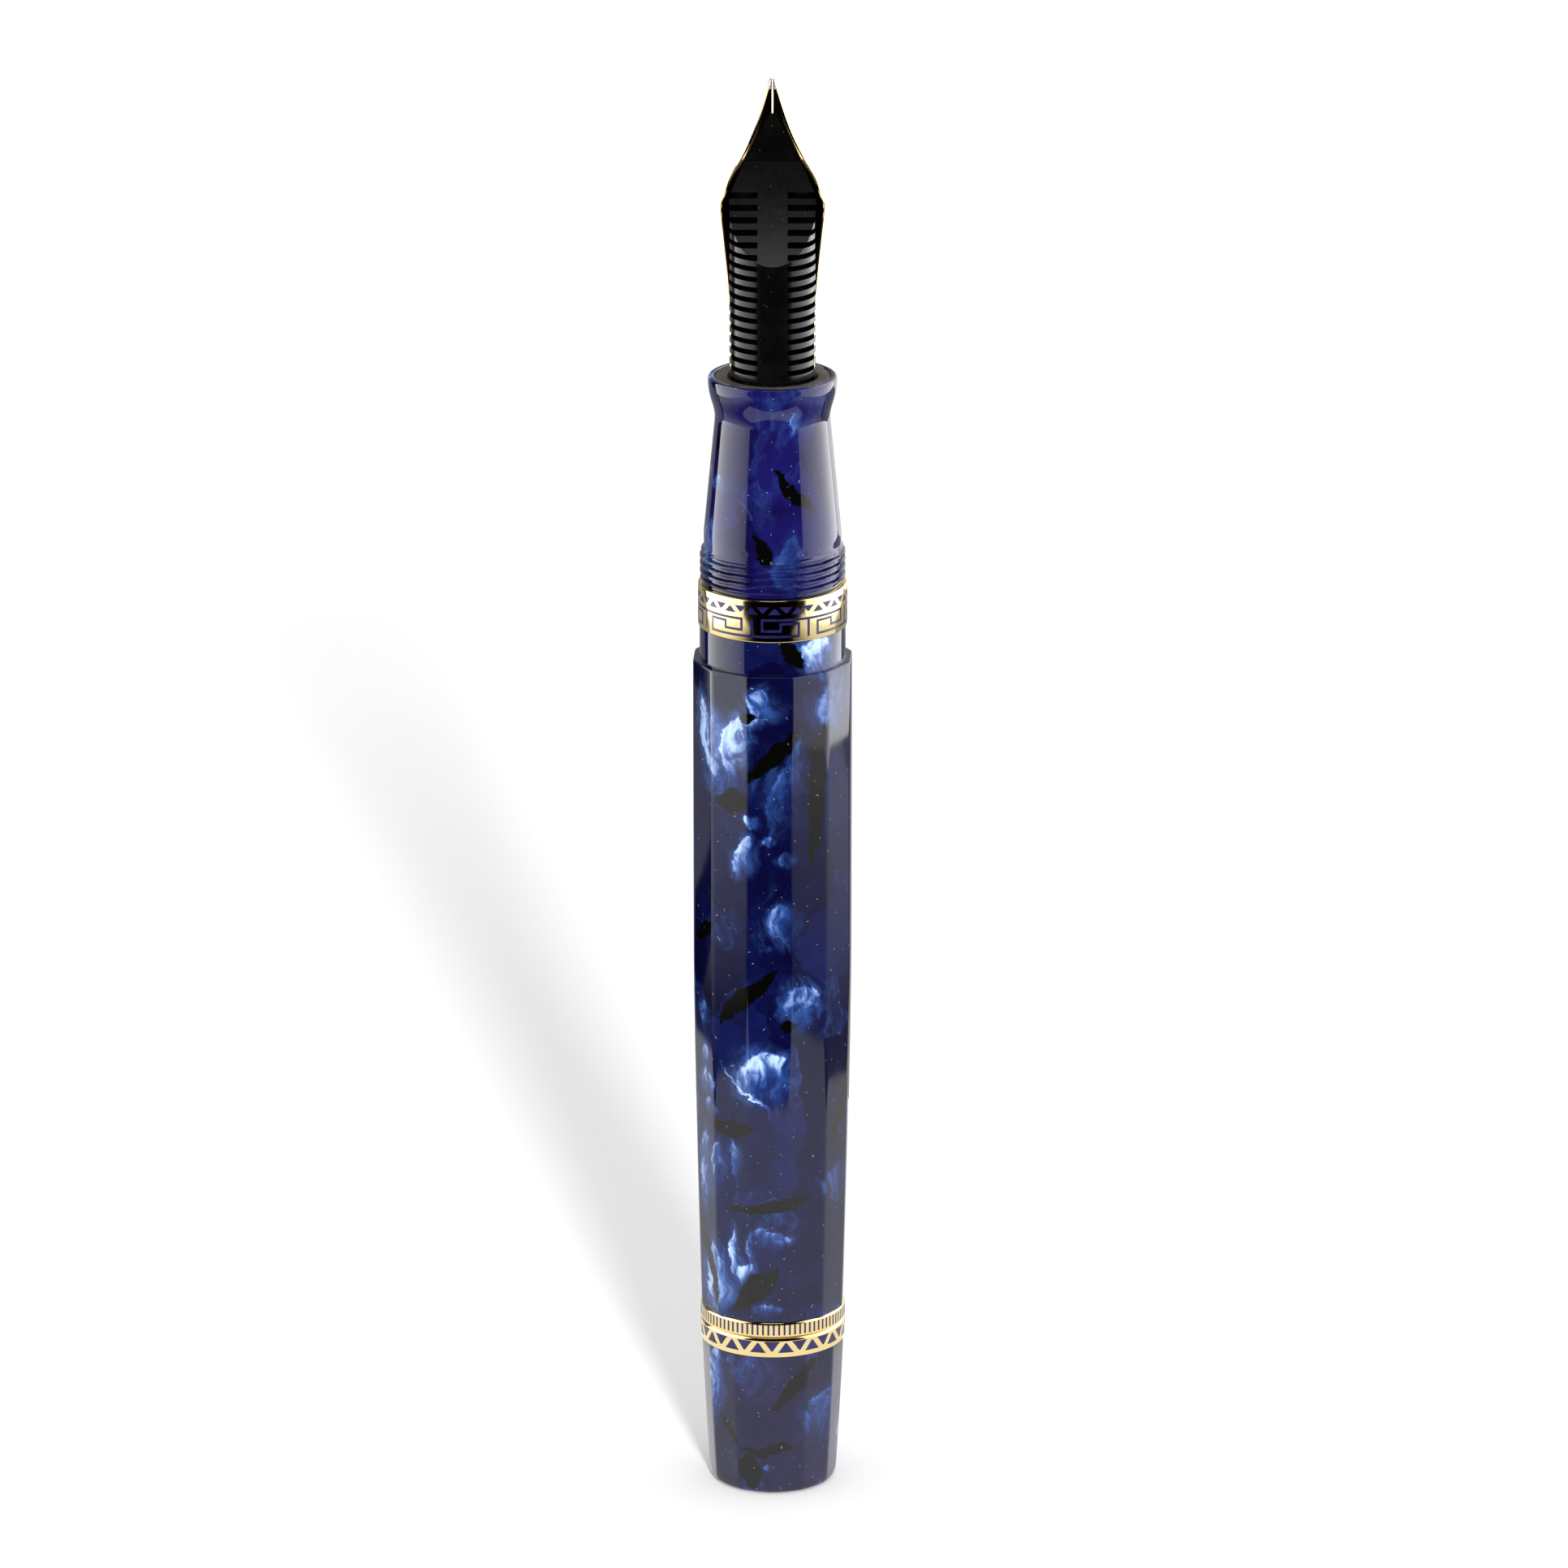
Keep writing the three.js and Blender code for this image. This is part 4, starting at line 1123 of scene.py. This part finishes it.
def make_feed():
    body = turned([(0, FEED_TAIL_BOTTOM, 0), (FEED_TAIL_RADIUS, FEED_TAIL_BOTTOM, 0),
                   (FEED_TAIL_RADIUS, FEED_BOTTOM, 0), (FEED_RADIUS, FEED_BOTTOM, 0),
                   (FEED_RADIUS, FIN_BOTTOM, 0), (FIN_RADIUS, FIN_BOTTOM, 0),
                   (FIN_RADIUS, FEED_TIP + 1, 0), (0, FEED_TIP + 1, 0)], round_columns(96))
    feed = loose(body)
    channel = [(-0.2, 2.7), (0.2, 2.7), (0.2, 5), (-0.2, 5)]
    combine(feed, loose(prism(feed_outline(), "Y", -6, 6)), "INTERSECT")
    for cutter in (prism(feed_slope(), "X", -6, 6), under_nib(), feed_slots(),
                   prism(channel, "Z", FEED_BOTTOM - 1, INK_CHANNEL_TOP)):
        combine(feed, loose(cutter), "DIFFERENCE")
    soften(feed, "edges", 0.11, 35)
    mesh = modified(feed)
    bpy.data.objects.remove(feed)
    for vertex in mesh.vertices:
        vertex.co *= MM
    add_piece("feed_fine", mesh, EBONITE, "barrel", "feed", 28)


# ---- pieces

make_knob()
make_barrel()
make_section()
make_trim_rings()
make_ring_patterns()
make_meander()
make_nib()
make_pellets()
make_housing()
make_feed()

SLOT_MATERIALS = {
    "celluloid": BARREL_CELLULOID, "gold_trim": GOLD, "nib_gold": NIB_GOLD, "iridium": IRIDIUM,
    "ebonite": EBONITE, "housing_plastic": COLLAR, "brass": BRASS, "steel": STEEL,
    "white_plastic": WHITE_PLASTIC, "seal_rubber": RUBBER,
}
for part in frame["record"]["subparts"]:
    node = frame["nodes"][part["node"]]
    node.data.materials.clear()
    node.data.materials.append(SLOT_MATERIALS[part["material_slot"]])
    for polygon in node.data.polygons:
        polygon.material_index = 0

# ---- stage

scene = bpy.context.scene
scene.view_settings.view_transform = "Standard"


def emission(name, strength, far_strength=None, axis=1, low=0.0, high=1.0):
    """White light of even strength, or running from strength to far_strength along an
    axis of the scene."""
    material = bpy.data.materials.new(name)
    material.use_nodes = True
    tree = material.node_tree
    tree.nodes.clear()
    out = tree.nodes.new("ShaderNodeOutputMaterial")
    glow = tree.nodes.new("ShaderNodeEmission")
    glow.inputs["Strength"].default_value = strength
    tree.links.new(glow.outputs[0], out.inputs[0])
    if far_strength is not None:
        place = tree.nodes.new("ShaderNodeTexCoord")
        parts = tree.nodes.new("ShaderNodeSeparateXYZ")
        ramp = tree.nodes.new("ShaderNodeMapRange")
        tree.links.new(place.outputs["Object"], parts.inputs[0])
        tree.links.new(parts.outputs[axis], ramp.inputs["Value"])
        for socket, value in (("From Min", low), ("From Max", high),
                              ("To Min", strength), ("To Max", far_strength)):
            ramp.inputs[socket].default_value = value
        tree.links.new(ramp.outputs["Result"], glow.inputs["Strength"])
    return material


def panel(name, corners, material, is_floor=False):
    """A flat stage panel, in metres. Only the floor is seen by the camera and takes shadows,
    and the others are seen in reflections alone."""
    mesh = bpy.data.meshes.new(name)
    mesh.from_pydata(corners, [], [list(range(len(corners)))])
    mesh.materials.append(material)
    made = add_object(name, mesh)
    made.visible_camera = is_floor
    made.visible_glossy = not is_floor
    made.visible_diffuse = is_floor
    made.visible_shadow = is_floor


def level(left, right, front, back, height):
    return [(left, front, height), (right, front, height), (right, back, height),
            (left, back, height)]


def upright(first, second):
    return [(*first, 0), (*second, 0), (*second, WALL_TOP), (*first, WALL_TOP)]


REACH = 6.0
WALL_TOP = 0.5
UNDER_FLOOR = -0.0002
NEAR = 0.11

floor_paint = Surface("floor", Roughness=0.9)
speckle = floor_paint.noise(floor_paint.place, 30.0)
floor_paint.colour(floor_paint.mix(speckle, (0.8, 0.8, 0.8), (0.81, 0.81, 0.81)))
panel("floor", level(-REACH, REACH, -REACH, REACH, 0), floor_paint.material, is_floor=True)

# Soft boxes either side are brighter towards the back, and a card behind towards the right
panel("soft_box_left", upright((-0.25, -0.25), (-0.25, 0.145)),
      emission("soft_box_left", 1.2, 4.6, 1, -0.25, 0.145))
panel("soft_box_right", upright((0.27, -0.219), (0.27, 0.3)),
      emission("soft_box_right", 1.3, 4.6, 1, -0.219, 0.156))
panel("back_card", upright((-0.3, 0.31), (0.3, 0.31)),
      emission("back_card", 0.35, 2.2, 0, 0.0, 0.2))
panel("ceiling_card", level(-0.1, 0.1, -0.2, -0.08, WALL_TOP), emission("ceiling_card", 1.8))

# What the polished surfaces see of the floor: lit near the pen and again further out at its
# sides, dim behind it
panel("floor_glow_front", level(-NEAR, NEAR, -NEAR, NEAR, UNDER_FLOOR),
      emission("floor_glow", 1.05))
side_floors = {
    -1: emission("floor_glow_left", 0.05, 1.2, 0, -0.125, -0.205),
    1: emission("floor_glow_right", 0.15, 0.9, 0, 0.125, 0.205),
}
for side, glow in side_floors.items():
    near, far = side * NEAR, side * 0.28
    panel("floor_glow_side", [(near, -0.20, UNDER_FLOOR), (far, -0.26, UNDER_FLOOR),
                              (far, 0.12, UNDER_FLOOR), (near, 0.08, UNDER_FLOOR)], glow)
panel("floor_glow_back", level(-0.3, 0.3, NEAR, 0.31, UNDER_FLOOR),
      emission("floor_glow_back", 0.35))

world = bpy.data.worlds.new("studio")
world.use_nodes = True
background = world.node_tree.nodes["Background"].inputs
background["Color"].default_value = (1.0, 1.0, 1.0, 1)
background["Strength"].default_value = 0.92
world.cycles_visibility.glossy = False
scene.world = world

SUN_AZIMUTH = math.radians(10.6)
SUN_ELEVATION = math.radians(21.2)
sun_light = bpy.data.lights.new("key", "SUN")
sun_light.energy = 3.9
sun_light.angle = math.radians(6.5)
sun = add_object("key", sun_light)
sun.visible_glossy = False
towards = Vector((math.sin(SUN_AZIMUTH) * math.cos(SUN_ELEVATION),
                  -math.cos(SUN_AZIMUTH) * math.cos(SUN_ELEVATION), math.sin(SUN_ELEVATION)))
sun.rotation_euler = towards.to_track_quat("Z", "Y").to_euler()

camera_data = bpy.data.cameras.new("camera")
camera_data.lens = 231
camera_data.sensor_width = 36
camera_data.clip_start = 0.01
camera = add_object("camera", camera_data)
camera.location = (0.00107, -0.907, 0.352)
camera.rotation_euler = (math.radians(72.7), 0, 0)
scene.camera = camera
